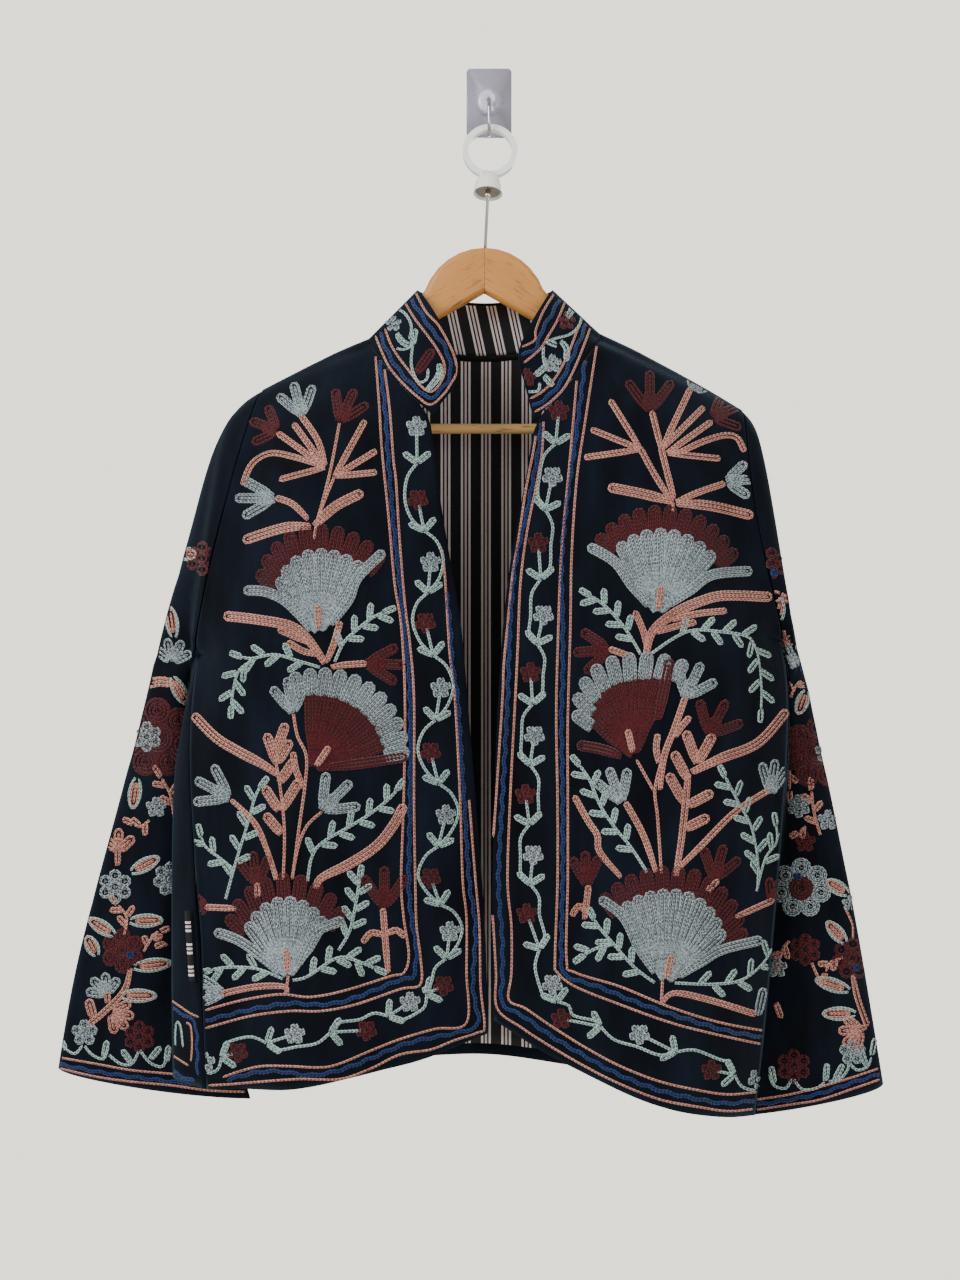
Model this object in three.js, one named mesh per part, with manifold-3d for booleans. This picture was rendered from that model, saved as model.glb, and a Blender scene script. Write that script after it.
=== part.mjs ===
// An open-fronted velvet jacket on a wooden hanger, held by a clear adhesive wall hook.
// Millimetres, +Z up. The wall is the plane y = 0 and the jacket's front faces -Y.
// The origin is the middle of the hook plate's back face. Right and left are the wearer's:
// the wearer's right side lies at -X.
import * as THREE from "three";
import { mergeVertices } from "three/addons/utils/BufferGeometryUtils.js";
import Module from "manifold-3d";

const wasm = await Module();
wasm.setup();

// ---- driving sizes -------------------------------------------------------------------------
const VELVET = 1.6; // shell wall
const LINING = 0.9; // striped cotton wall
const SEAM = 0.3; // gap between pieces that meet
const RIDGE_Y = -40; // plane of the hanger and of the shoulder seams
const UNDERARM_ROW = 10; // row of the section tables where the armhole closes
const HEM_ROW = 17; // last row of the section tables
const ARMHOLE_FRONT = 40; // how far the armhole reaches forward of its axis
const ARMHOLE_BACK = 31; // and back of it

const STYLE = {
  velvet: { color: 0x0d1118, roughness: 0.95 },
  stripe: { color: 0x6f6468, roughness: 0.85 },
  wood: { color: 0xd49a4e, roughness: 0.55 },
  steel: { color: 0xb9b6b0, roughness: 0.3, metalness: 1 },
  white: { color: 0xeef4f1, roughness: 0.35 },
  clear: { color: 0xc3c3d2, roughness: 0.2 },
};
const material = Object.fromEntries(
  Object.entries(STYLE).map(([name, style]) => [name, new THREE.MeshStandardMaterial(style)]),
);

const jacket = new THREE.Group();
jacket.name = "velvet_jacket_on_hanger";

function add(name, geometry, finish) {
  const mesh = new THREE.Mesh(geometry, material[finish]);
  mesh.name = name;
  jacket.add(mesh);
  return mesh;
}

// ---- the body's sections -------------------------------------------------------------------
// A row for each section, from the shoulder seam (0) to the hem (17). edge is the front opening
// and, above row 6, the neckline. plane is how far forward the front hangs. Rows 0 to 10 end at
// the armhole, at the angle turn round it, and the lower rows at the side seam. side, corner and
// blade lead round the back, and middle is the back's middle, at x = 0.
const FRONT = {
  right: {
    edge: [
      [-96, -40, -207], [-96, -46.5, -209.7], [-94, -52, -216], [-88, -64, -225], [-76, -77, -244],
      [-60, -86, -263], [-44, -91, -278], [-42, -92, -308], [-37, -93, -345], [-31, -93, -381],
      [-25, -93, -415], [-20, -92, -450], [-17, -91, -491], [-13, -89, -540], [-8, -87, -600],
      [-4, -85, -660], [-2, -84, -710], [-1.5, -83, -746],
    ],
    plane: [-40, -46.5, -53, -66, -79, -89, -95, -99, -101, -102, -102, -102, -102, -102, -103, -102, -101, -100],
    seam: [
      [-230, -52, -460], [-230, -66, -484], [-230, -78, -522], [-227, -84, -570],
      [-224, -86, -625], [-220, -87, -684], [-217, -87, -740], [-214, -87, -787],
    ],
    sag: 8,
  },
  left: {
    edge: [
      [88, -40, -203], [88, -46.5, -205.7], [87, -52, -212], [82, -64, -219], [70, -77, -238],
      [55, -86, -261], [33, -91, -282], [30, -92, -307], [25, -93, -338], [18, -93, -372],
      [13, -93, -406], [9, -92, -446], [6, -91, -491], [4, -89, -540], [2, -87, -600],
      [2, -85, -660], [2.5, -84, -703], [3, -83, -736],
    ],
    plane: [-40, -46.5, -53, -66, -79, -89, -95, -99, -101, -102, -102, -102, -102, -101, -101, -100, -100, -100],
    seam: [
      [229, -52, -448], [231, -64, -474], [231, -70, -510], [227, -73, -562],
      [222.5, -74, -620], [217, -73, -684], [212, -72, -746], [204, -72, -813],
    ],
    sag: 11,
  },
};
const TURN = [0, 9, 18, 36, 54, 72, 90, 108, 126, 144, 180];
const ARMHOLE = {
  right: { tip: [-179, RIDGE_Y, -247.5], underarm: [-230, -52, -460], bow: 2, crown: 2 },
  left: { tip: [200, RIDGE_Y, -264], underarm: [229, -52, -448], bow: 13, crown: 3 },
};
const BACK = {
  right: {
    side: [
      [-160, -40], [-160, -34], [-160, -28.5], [-162, -22], [-165, -17], [-170, -13.5], [-176, -12],
      [-184, -13], [-195, -16], [-209, -23], [-226, -33], [-237, -50], [-244, -60], [-246.5, -63],
      [-247, -64], [-247, -64], [-247, -64], [-246, -64],
    ],
    corner: [
      [-128, -40], [-128, -33.5], [-128, -28], [-130, -21.5], [-134, -16.5], [-138, -13], [-144, -11.5],
      [-150, -11.5], [-160, -12.5], [-174, -16], [-192, -22], [-205, -33], [-211, -38], [-213, -39],
      [-213, -39], [-213, -39], [-212, -39], [-211, -39],
    ],
    blade: [
      [-96, -40, -207], [-96, -33.5, -209.7], [-95, -28, -216], [-95, -21, -230], [-97, -16, -252],
      [-100, -12.5, -278], [-104, -11.5, -308], [-108, -11, -340], [-112, -11, -374], [-116, -11, -406],
      [-120, -12, -440], [-124, -13, -476], [-126, -13, -518], [-126, -13, -568], [-126, -13, -625],
      [-125, -13, -682], [-124, -13, -738], [-122, -13, -793],
    ],
    nape: [
      [-90, -28], [-88, -25], [-84, -22], [-76, -18], [-70, -14.5], [-66, -12.5], [-64, -12], [-62, -11.5],
      [-60, -11.5], [-60, -11.5], [-60, -11.5], [-60, -11.5], [-60, -11.5], [-60, -11.5], [-60, -11.5],
      [-60, -11.5], [-60, -11.5], [-60, -11.5],
    ],
  },
  left: {
    side: [
      [165, -40], [165, -34], [165, -28.5], [166, -22], [169, -17], [174, -13.5], [181, -12],
      [190, -13], [201, -16], [213, -23], [224, -33], [228, -46], [231, -54], [230, -58],
      [226, -58], [220, -57], [215, -56], [207, -55],
    ],
    corner: [
      [128, -40], [128, -33.5], [128, -28], [130, -21.5], [134, -16.5], [138, -13], [144, -11.5],
      [150, -11.5], [160, -12.5], [174, -16], [192, -22], [204, -32], [205, -35], [202, -36],
      [198, -36], [193, -36], [188, -35], [182, -34],
    ],
    blade: [
      [88, -40, -203], [88, -33.5, -205.7], [87, -28, -212], [88, -21, -226], [91, -16, -248],
      [95, -12.5, -275], [100, -11.5, -306], [106, -11, -338], [112, -11, -372], [116, -11, -404],
      [120, -12, -436], [124, -13, -474], [126, -13, -516], [126, -13, -568], [125, -13, -626],
      [123, -13, -686], [121, -13, -746], [118, -13, -805],
    ],
    nape: [
      [82, -28], [80, -25], [78, -22], [72, -18], [68, -14.5], [64, -12.5], [62, -12], [61, -11.5],
      [60, -11.5], [60, -11.5], [60, -11.5], [60, -11.5], [60, -11.5], [60, -11.5], [60, -11.5],
      [60, -11.5], [60, -11.5], [60, -11.5],
    ],
  },
};
const MIDDLE_Y = [-14, -13.5, -13, -12.5, -12, -12, -11, -11, -11, -11, -11, -11, -11, -11, -11, -11, -11, -11];
const MIDDLE_Z = [-220, -224, -231, -244, -264, -288, -316, -348, -382, -414, -446, -480, -521, -568, -622, -678, -734, -788];

// The rows that the grids are built on: close together over the shoulder and under the arm.
const ROWS = [0, 0.5, 1, 1.5, 2, 2.5, 3, 4, 5, 6, 7, 8, 9, 9.5, 10, 10.5, 11, 12, 13, 14.3, 14.85, 15.4, 16.2, 17];

// ---- the largest folds ---------------------------------------------------------------------
// from and to are x and z in the front view. A trough has a depth above 0, a ridge below 0.
const FOLDS = [
  { from: [-172, -262], to: [-188, -420], width: 13, depth: 5 }, // along the right armhole
  { from: [-148, -290], to: [-160, -520], width: 15, depth: -4 },
  { from: [-66, -320], to: [-93, -1000], width: 20, depth: 5 }, // long soft fall of the right front
  { from: [-122, -480], to: [-144, -1000], width: 20, depth: -5 },
  { from: [-188, -600], to: [-170, -1000], width: 16, depth: 5 },
  { from: [182, -276], to: [190, -420], width: 13, depth: 5 }, // along the left armhole
  { from: [146, -310], to: [166, -520], width: 15, depth: -4 },
  { from: [54, -350], to: [69, -1000], width: 20, depth: 5 },
  { from: [112, -480], to: [124, -1000], width: 20, depth: -5 },
  { from: [174, -580], to: [160, -1000], width: 16, depth: 5 },
];

const lerp = (a, b, f) => a + (b - a) * f;
const clamp01 = (f) => Math.min(1, Math.max(0, f));

// How far a fold pushes the cloth at x, z: a soft bell across its line, dying out at its ends.
function foldAt(x, z, fold) {
  const [x0, z0] = fold.from;
  const [x1, z1] = fold.to;
  const f = clamp01(((x - x0) * (x1 - x0) + (z - z0) * (z1 - z0)) / ((x1 - x0) ** 2 + (z1 - z0) ** 2));
  const away = Math.hypot(x - lerp(x0, x1, f), z - lerp(z0, z1, f));
  return fold.depth * Math.exp(-((away / fold.width) ** 2)) * clamp01(f / 0.25) * clamp01((1 - f) / 0.2);
}
const folded = (x, z) => FOLDS.reduce((sum, fold) => sum + foldAt(x, z, fold), 0);

// Catmull-Rom interpolation of a column of numbers, or of points, at a fractional row.
function at(column, t) {
  const i = Math.min(column.length - 2, Math.max(0, Math.floor(t)));
  const f = t - i;
  const [a, b, c, d] = [i - 1, i, i + 1, i + 2].map(
    (k) => column[Math.min(column.length - 1, Math.max(0, k))],
  );
  const mix = (p, q, r, s) =>
    q + 0.5 * f * (r - p + f * (2 * p - 5 * q + 4 * r - s + f * (3 * (q - r) + s - p)));
  return Array.isArray(b) ? b.map((_, k) => mix(a[k], b[k], c[k], d[k])) : mix(a, b, c, d);
}

// A point of the armhole: angle 0 is the shoulder tip and 180 the underarm. reach is how far the
// loop stands out along Y at its middle, below 0 for the front half.
function armholePoint(side, degrees, reach) {
  const { tip, underarm, bow } = ARMHOLE[side];
  const angle = THREE.MathUtils.degToRad(degrees);
  const share = (1 - Math.cos(angle)) / 2;
  const inward = side === "right" ? bow : -bow;
  return new THREE.Vector3(
    lerp(tip[0], underarm[0], share) + inward * Math.sin(angle) ** 2,
    lerp(tip[1], underarm[1], share) + reach * Math.sin(angle),
    lerp(tip[2], underarm[2], share),
  );
}

// Where the panels end at row t: at the armhole, or at the side seam under it.
function sidePoint(side, t, reach) {
  if (t <= UNDERARM_ROW) return armholePoint(side, at(TURN, t), reach);
  return new THREE.Vector3(...at(FRONT[side].seam, t - UNDERARM_ROW));
}

// The shoulder seam rises a little over the straight line, and less so further down.
const crownAt = (side, t, share) =>
  ARMHOLE[side].crown * Math.sin(Math.PI * clamp01(share)) * clamp01(1 - t / 5);

const FRONT_STEPS = 4; // columns for each of a front row's three stretches
const BREAST = 0.3; // where the front reaches its plane, as a share of the row
const CHEST = 0.78;

// One row of a front, from its edge to the armhole or side seam.
function frontRow(side, t) {
  const data = FRONT[side];
  const edge = new THREE.Vector3(...at(data.edge, t));
  const end = sidePoint(side, t, -ARMHOLE_FRONT);
  const plane = at(data.plane, t);
  const sag = data.sag * clamp01((t - UNDERARM_ROW) / (HEM_ROW - UNDERARM_ROW)) ** 2;
  const knot = (f) => {
    const p = edge.clone().lerp(end, f);
    p.y = plane;
    p.z += crownAt(side, t, f) - sag * Math.sin(Math.PI * f);
    return p;
  };
  const curve = new THREE.CatmullRomCurve3([edge, knot(BREAST), knot(CHEST), end], false, "centripetal");
  const points = curve.getPoints(3 * FRONT_STEPS);
  const fade = clamp01((t - 1.5) / 2);
  points.forEach((p, i) => {
    const share = i / (points.length - 1);
    p.y += folded(p.x, p.z) * fade * clamp01(share / 0.15) * clamp01((1 - share) / 0.12);
  });
  return points;
}

const BACK_STEPS = [2, 3, 3, 2, 2]; // columns for each stretch of half a back row
const BLADE = 8; // the back's column at the neck point, and on the shoulder blade below it
const LAST_BACK = 24;

// Half a back row, from the armhole or side seam to the nape.
function halfBack(side, t) {
  const end = sidePoint(side, t, ARMHOLE_BACK);
  const blade = new THREE.Vector3(...at(BACK[side].blade, t));
  const middle = new THREE.Vector3(0, 0, at(MIDDLE_Z, t));
  const between = (name, from, to, crown) => {
    const [x, y] = at(BACK[side][name], t);
    const share = clamp01((x - from.x) / (to.x - from.x));
    return new THREE.Vector3(x, y, lerp(from.z, to.z, share) + (crown ? crownAt(side, t, 1 - share) : 0));
  };
  return [
    end,
    between("side", end, blade, true),
    between("corner", end, blade, true),
    blade,
    between("nape", blade, middle, false),
  ];
}

function backRow(t) {
  const middle = new THREE.Vector3(0, at(MIDDLE_Y, t), at(MIDDLE_Z, t));
  const knots = [...halfBack("right", t), middle, ...halfBack("left", t).reverse()];
  const curve = new THREE.CatmullRomCurve3(knots, false, "centripetal");
  const steps = [...BACK_STEPS, ...[...BACK_STEPS].reverse()];
  const points = [knots[0].clone()];
  steps.forEach((count, i) => {
    for (let k = 1; k <= count; k += 1) points.push(curve.getPoint((i + k / count) / steps.length));
  });
  // Near the seam the curve mustn't swing forward of it on its way to the nape.
  if (t <= 2)
    points.forEach((p, k) => {
      const side = k <= LAST_BACK / 2 ? "right" : "left";
      const column = Math.min(k, LAST_BACK - k);
      if (column > 4 && column <= BLADE) p.y = Math.max(p.y, at(BACK[side].blade, t)[1]);
    });
  return points;
}

// ---- cloth walls ---------------------------------------------------------------------------
const BODY_AXIS = new THREE.Vector3(0, -52, 0);

// Unit normals of a grid of points. They all leave the same side of it: the one that, over the
// whole grid, faces away from the points that inside(row) gives.
function gridNormals(grid, inside, closed = false) {
  const columns = grid[0].length;
  const wrap = (j) => (closed ? (j + columns) % columns : Math.min(columns - 1, Math.max(0, j)));
  let outward = 0;
  const normals = grid.map((row, i) =>
    row.map((p, j) => {
      const across = row[wrap(j + 1)].clone().sub(row[wrap(j - 1)]);
      const down = grid[Math.min(grid.length - 1, i + 1)][j].clone().sub(grid[Math.max(0, i - 1)][j]);
      const normal = across.cross(down).normalize();
      outward += normal.dot(p.clone().sub(inside(i)).normalize());
      return normal;
    }),
  );
  if (outward < 0) normals.forEach((row) => row.forEach((normal) => normal.negate()));
  return normals;
}

const offAxis = (grid) => (i) => new THREE.Vector3(BODY_AXIS.x, BODY_AXIS.y, grid[i][0].z);

// A closed wall between a grid moved inwards by depth(i, j) and the same grid moved by that and
// the wall's thickness. closed joins each row's last point to its first, as on a sleeve.
function clothWall(grid, normals, thickness, depth = () => 0, closed = false) {
  const rows = grid.length;
  const columns = grid[0].length;
  const positions = [];
  for (const extra of [0, thickness])
    grid.forEach((row, i) =>
      row.forEach((p, j) => {
        const q = p.clone().addScaledVector(normals[i][j], -depth(i, j) - extra);
        positions.push(q.x, q.y, q.z);
      }),
    );
  const outer = (i, j) => i * columns + (closed ? j % columns : j);
  const inner = (i, j) => rows * columns + outer(i, j);
  const faces = [];
  const quad = (a, b, c, d) => faces.push(a, b, c, a, c, d);
  const spans = closed ? columns : columns - 1;
  for (let i = 0; i + 1 < rows; i += 1)
    for (let j = 0; j < spans; j += 1) {
      quad(outer(i, j), outer(i + 1, j), outer(i + 1, j + 1), outer(i, j + 1));
      quad(inner(i, j), inner(i, j + 1), inner(i + 1, j + 1), inner(i + 1, j));
    }
  for (let j = 0; j < spans; j += 1) {
    quad(outer(0, j), outer(0, j + 1), inner(0, j + 1), inner(0, j));
    quad(outer(rows - 1, j + 1), outer(rows - 1, j), inner(rows - 1, j), inner(rows - 1, j + 1));
  }
  if (!closed)
    for (let i = 0; i + 1 < rows; i += 1) {
      quad(outer(i + 1, 0), outer(i, 0), inner(i, 0), inner(i + 1, 0));
      quad(outer(i, spans), outer(i + 1, spans), inner(i + 1, spans), inner(i, spans));
    }
  return facingOut(positions, faces);
}

// A geometry whose faces point out, whichever way its grid ran.
function facingOut(positions, faces) {
  const corner = (k) => new THREE.Vector3().fromArray(positions, 3 * k);
  let volume = 0;
  for (let k = 0; k < faces.length; k += 3)
    volume += corner(faces[k]).dot(corner(faces[k + 1]).cross(corner(faces[k + 2])));
  if (volume < 0)
    for (let k = 0; k < faces.length; k += 3) [faces[k], faces[k + 1]] = [faces[k + 1], faces[k]];
  return new THREE.BufferGeometry()
    .setAttribute("position", new THREE.Float32BufferAttribute(positions, 3))
    .setIndex(faces);
}

// Draws a grid's boundary column back from the seam, so that two panels leave a gap.
function drawBack(grid, column, neighbour, amount) {
  grid.forEach((row, i) => {
    const direction = row[neighbour].clone().sub(row[column]).normalize();
    row[column].addScaledVector(direction, typeof amount === "function" ? amount(ROWS[i]) : amount);
  });
}

const POCKET_ROWS = [14, 15.6]; // slit in the right side seam
const POCKET_GAPE = 3.4;

function pocketGape(t) {
  const [from, to] = POCKET_ROWS;
  return POCKET_GAPE * Math.sin(Math.PI * clamp01((t - from) / (to - from)));
}

// ---- fronts and back -----------------------------------------------------------------------
const frontGrid = {};
const frontNormals = {};
for (const side of ["right", "left"]) {
  frontGrid[side] = ROWS.map((t) => frontRow(side, t));
  frontNormals[side] = gridNormals(frontGrid[side], offAxis(frontGrid[side]));
}
const backGrid = ROWS.map(backRow);
const backNormals = gridNormals(backGrid, offAxis(backGrid));
const LAST_FRONT = 3 * FRONT_STEPS;
const seamColumn = { right: 0, left: LAST_BACK };

// The back's seam rows take the height of the fronts' seams, so that the two polylines agree.
for (const side of ["right", "left"]) {
  const top = frontGrid[side][0];
  for (let k = 0; k <= BLADE; k += 1) {
    const p = backGrid[0][side === "right" ? k : LAST_BACK - k];
    const away = (q) => Math.abs(q.x);
    const i = Math.max(1, top.findIndex((q) => away(q) >= away(p) - 1e-6));
    const share = clamp01((away(p) - away(top[i - 1])) / (away(top[i]) - away(top[i - 1])));
    p.z = lerp(top[i - 1].z, top[i].z, share);
  }
}

// Panels share their normals where they are sewn together, so that their walls never cross.
for (const side of ["right", "left"]) {
  const { tip, underarm } = ARMHOLE[side];
  const centre = new THREE.Vector3(...tip).lerp(new THREE.Vector3(...underarm), 0.5);
  ROWS.forEach((t, i) => {
    const front = frontNormals[side][i][LAST_FRONT];
    const back = backNormals[i][seamColumn[side]];
    if (t >= UNDERARM_ROW) {
      front.add(back).normalize();
      back.copy(front);
      return;
    }
    for (const [normal, grid, column] of [
      [front, frontGrid[side], LAST_FRONT],
      [back, backGrid, seamColumn[side]],
    ]) {
      const outward = grid[i][column].clone().sub(centre);
      outward.x = 0;
      normal.lerp(outward.normalize(), clamp01((9.5 - t) / 2)).normalize();
    }
  });
  // Along the seam on the shoulder both walls stand square to the ridge.
  const { x, z } = frontGrid[side][0][LAST_FRONT].clone().sub(frontGrid[side][0][0]);
  const up = new THREE.Vector3(-z, 0, x).multiplyScalar(Math.sign(x)).normalize();
  frontNormals[side][0].forEach((normal) => normal.copy(up));
  for (let k = 0; k <= BLADE; k += 1) backNormals[0][side === "right" ? k : LAST_BACK - k].copy(up);
}

const copyGrid = (grid) => grid.map((row) => row.map((p) => p.clone()));
for (const side of ["right", "left"]) {
  const grid = copyGrid(frontGrid[side]);
  grid[0].forEach((p) => (p.y -= SEAM / 2));
  drawBack(grid, LAST_FRONT, LAST_FRONT - 1, (t) => SEAM * 0.7 + (side === "right" ? pocketGape(t) : 0));
  add("front_" + side, clothWall(grid, frontNormals[side], VELVET), "velvet");
}
{
  const grid = copyGrid(backGrid);
  grid[0].forEach((p, j) => {
    if (j <= BLADE || j >= LAST_BACK - BLADE) p.y += SEAM / 2;
  });
  drawBack(grid, 0, 1, SEAM * 0.7);
  drawBack(grid, LAST_BACK, LAST_BACK - 1, SEAM * 0.7);
  add("back", clothWall(grid, backNormals, VELVET), "velvet");
}

// ---- sleeves -------------------------------------------------------------------------------
// A row for each ring of the sleeve: its end over the arm, its end under the arm, and for its
// front and back sheets how far they stand off the line between those ends and bow inwards.
const SLEEVE = {
  right: [
    { over: ARMHOLE.right.tip, under: ARMHOLE.right.underarm, front: [ARMHOLE_FRONT, 2], back: [ARMHOLE_BACK, 2] },
    { over: [-192, -41, -255], under: [-234, -48, -467], front: [38, 1], back: [29, 1] },
    { over: [-206, -42, -271], under: [-237, -42, -479], front: [34, 1], back: [26, 0] },
    { over: [-220, -41, -297], under: [-239.5, -36, -495], front: [29, 1], back: [23, 0] },
    { over: [-238, -39, -360], under: [-241, -28, -527], front: [24, 2], back: [19, 0] },
    { over: [-255, -37, -415], under: [-240, -24, -571], front: [21, 0], back: [16, 0] },
    { over: [-269, -34, -465], under: [-236, -21, -618], front: [19, 0], back: [14, 0] },
    { over: [-290, -31, -546], under: [-227, -18, -684], front: [17, 0], back: [12, 0] },
    { over: [-313, -29, -629], under: [-217, -16, -740], front: [15, 0], back: [11, 0] },
    { over: [-336, -27, -716], under: [-205, -15, -792], front: [14, 0], back: [11, 0] },
    { over: [-350, -25, -795], under: [-196, -15, -824], front: [14, 0], back: [11, 0] },
  ],
  left: [
    { over: ARMHOLE.left.tip, under: ARMHOLE.left.underarm, front: [ARMHOLE_FRONT, 13], back: [ARMHOLE_BACK, 13] },
    { over: [206, -41, -270], under: [236, -50, -452], front: [41, 10], back: [30, 8] },
    { over: [210.5, -41, -281], under: [241, -46, -461], front: [40, 7], back: [27, 4] },
    { over: [214, -41, -303], under: [244, -39, -478], front: [35, 4], back: [24, 1] },
    { over: [219, -39, -352], under: [244, -30, -515], front: [27, 2], back: [20, 0] },
    { over: [234, -37, -398], under: [241, -25, -560], front: [21, 1], back: [16, 0] },
    { over: [250, -34, -462], under: [236, -21, -610], front: [18, 0], back: [14, 0] },
    { over: [274, -31, -564], under: [229, -18, -678], front: [16, 0], back: [12, 0] },
    { over: [290, -29, -640], under: [218, -16, -738], front: [15, 0], back: [11, 0] },
    { over: [306, -27, -726], under: [202, -15, -796], front: [14, 0], back: [11, 0] },
    { over: [320, -25, -808], under: [187, -15, -839], front: [14, 0], back: [11, 0] },
  ],
};
const SLEEVE_RINGS = 19;
const RING_POINTS = 20;
const UNDER_THINNING = 0.15; // a sleeve is thicker over the arm than under it,
const UNDER_SHARPNESS = 1.5; // where it comes to a fold

function sleeveRing(side, t) {
  const table = SLEEVE[side];
  const column = (name) => at(table.map((row) => row[name]), t);
  const over = column("over");
  const under = column("under");
  const front = column("front");
  const back = column("back");
  const thinning = UNDER_THINNING * clamp01(t / 4);
  const sharpness = lerp(1, UNDER_SHARPNESS, clamp01((t - 1) / 3));
  return Array.from({ length: RING_POINTS }, (_, k) => {
    const angle = (2 * Math.PI * k) / RING_POINTS;
    const share = (1 - Math.cos(angle)) / 2;
    const out = Math.abs(Math.sin(angle)) ** (share > 0.5 ? sharpness : 1);
    const [reach, bow] = angle < Math.PI ? [-front[0], front[1]] : back;
    return new THREE.Vector3(
      lerp(over[0], under[0], share) + (side === "right" ? bow : -bow) * Math.sin(angle) ** 2,
      lerp(over[1], under[1], share) + reach * out * (1 + thinning * Math.cos(angle)),
      lerp(over[2], under[2], share),
    );
  });
}

for (const side of ["right", "left"]) {
  const rings = Array.from({ length: SLEEVE_RINGS }, (_, k) =>
    sleeveRing(side, ((SLEEVE[side].length - 1) * k) / (SLEEVE_RINGS - 1)),
  );
  const centres = rings.map((ring) =>
    ring.reduce((sum, p) => sum.add(p), new THREE.Vector3()).divideScalar(RING_POINTS),
  );
  const normals = gridNormals(rings, (i) => centres[i], true);
  const away = side === "right" ? -1 : 1;
  rings[0].forEach((p, j) => {
    const outward = p.clone().sub(centres[0]);
    outward.x = 0;
    normals[0][j].copy(outward.normalize());
    p.x += away * 3 * SEAM;
  });
  add("sleeve_" + side, clothWall(rings, normals, VELVET, undefined, true), "velvet");
}

// ---- collar --------------------------------------------------------------------------------
// The band's top edge over each row of the neckline, from the front end (row 6) to the neck
// point (row 0), then round the back from the neck point to the middle.
const COLLAR_TOP = {
  right: [[-58, -40, -168], [-56, -47, -171], [-52, -54, -177], [-43, -67, -193], [-34, -79, -212], [-24, -86, -233], [-28, -91, -258]],
  left: [[51, -40, -168], [49, -47, -171], [45, -54, -178], [36, -66, -195], [28, -76, -211], [22, -80, -226], [23, -84, -238]],
};
const COLLAR_BACK_TOP = [[-58, -40, -168], [-51, -28, -168.5], [-38, -21, -170], [-20, -17.5, -171.5], [-3, -16, -172], [14, -17.5, -171.5], [32, -21, -170], [45, -28, -168.5], [51, -40, -168]];
const COLLAR_ROWS = 5;
const NECK_ROWS = [6, 5.6, 5, 4.4, 3.7, 3, 2.5, 2, 1.5, 1, 0.5];

// The neckline as points, normals and the band's top over each, from the right end to the left.
const neckline = [];
const frontNeck = (side, t) => {
  const i = ROWS.findIndex((row) => row >= t);
  const f = i === 0 ? 0 : (t - ROWS[i - 1]) / (ROWS[i] - ROWS[i - 1]);
  const before = Math.max(0, i - 1);
  const point = frontGrid[side][before][0].clone().lerp(frontGrid[side][i][0], f);
  const normal = frontNormals[side][before][0].clone().lerp(frontNormals[side][i][0], f).normalize();
  return { point, normal, top: new THREE.Vector3(...at(COLLAR_TOP[side], t)) };
};
NECK_ROWS.forEach((t) => neckline.push(frontNeck("right", t)));
for (let j = BLADE; j <= LAST_BACK - BLADE; j += 1) {
  const share = (j - BLADE) / (LAST_BACK - 2 * BLADE);
  neckline.push({
    point: backGrid[0][j].clone(),
    normal: backNormals[0][j].clone(),
    top: new THREE.Vector3(...at(COLLAR_BACK_TOP, share * (COLLAR_BACK_TOP.length - 1))),
  });
}
[...NECK_ROWS].reverse().forEach((t) => neckline.push(frontNeck("left", t)));

const collarGrid = Array.from({ length: COLLAR_ROWS }, (_, i) =>
  neckline.map(({ point, top }) => {
    const base = point.clone().add(top.clone().sub(point).setLength(SEAM + 0.3));
    return base.lerp(top, i / (COLLAR_ROWS - 1));
  }),
);
const collarNormals = gridNormals(collarGrid, () => new THREE.Vector3(-3, -48, -330));
neckline.forEach(({ normal }, j) => collarNormals[0][j].lerp(normal, 0.8).normalize());
add("collar", clothWall(collarGrid, collarNormals, VELVET), "velvet");

// ---- lining --------------------------------------------------------------------------------
// The lining hangs inside the shell, on the shell's own grid. It starts under the shoulder
// seams, or right at the back neckline, and ends a little above the hem and inside the edges.
const LINING_GAP = 0.6;
const LINING_START = 2.5; // row where it starts below a shoulder seam
const LINING_END = 16.82; // row where it ends above the hem

// The point and normal of a grid at a fractional row and column.
function onGrid(grid, normals, t, j) {
  const i = Math.max(0, ROWS.findIndex((row) => row >= t) - 1);
  const f = (t - ROWS[i]) / (ROWS[i + 1] - ROWS[i]);
  const low = Math.min(grid[0].length - 2, Math.floor(j));
  const blend = (table, k) => table[k][low].clone().lerp(table[k][low + 1], j - low);
  return {
    point: blend(grid, i).lerp(blend(grid, i + 1), f),
    normal: blend(normals, i).lerp(blend(normals, i + 1), f).normalize(),
  };
}

// A wall inside a panel, over the given rows and columns; row(t, j) may move a row at a column.
function wallInside(panel, rows, columns, thickness, depth, row = (t) => t) {
  const cells = rows.map((t) => columns.map((j) => onGrid(panel.grid, panel.normals, row(t, j), j)));
  return clothWall(
    cells.map((line) => line.map((cell) => cell.point)),
    cells.map((line) => line.map((cell) => cell.normal)),
    thickness,
    (i, j) => depth(rows[i], columns[j]),
  );
}

const panels = {
  right: { grid: frontGrid.right, normals: frontNormals.right },
  left: { grid: frontGrid.left, normals: frontNormals.left },
  back: { grid: backGrid, normals: backNormals },
};
const count = (from, to) => Array.from({ length: to - from + 1 }, (_, k) => from + k);
const liningRows = [LINING_START, ...ROWS.filter((t) => t > LINING_START && t < LINING_END), LINING_END];
const frontColumns = [0.18, ...count(1, LAST_FRONT - 1), LAST_FRONT - 0.3];
const backColumns = [0.15, ...count(1, LAST_BACK - 1), LAST_BACK - 0.15];
const shallow = () => VELVET + LINING_GAP;

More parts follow.
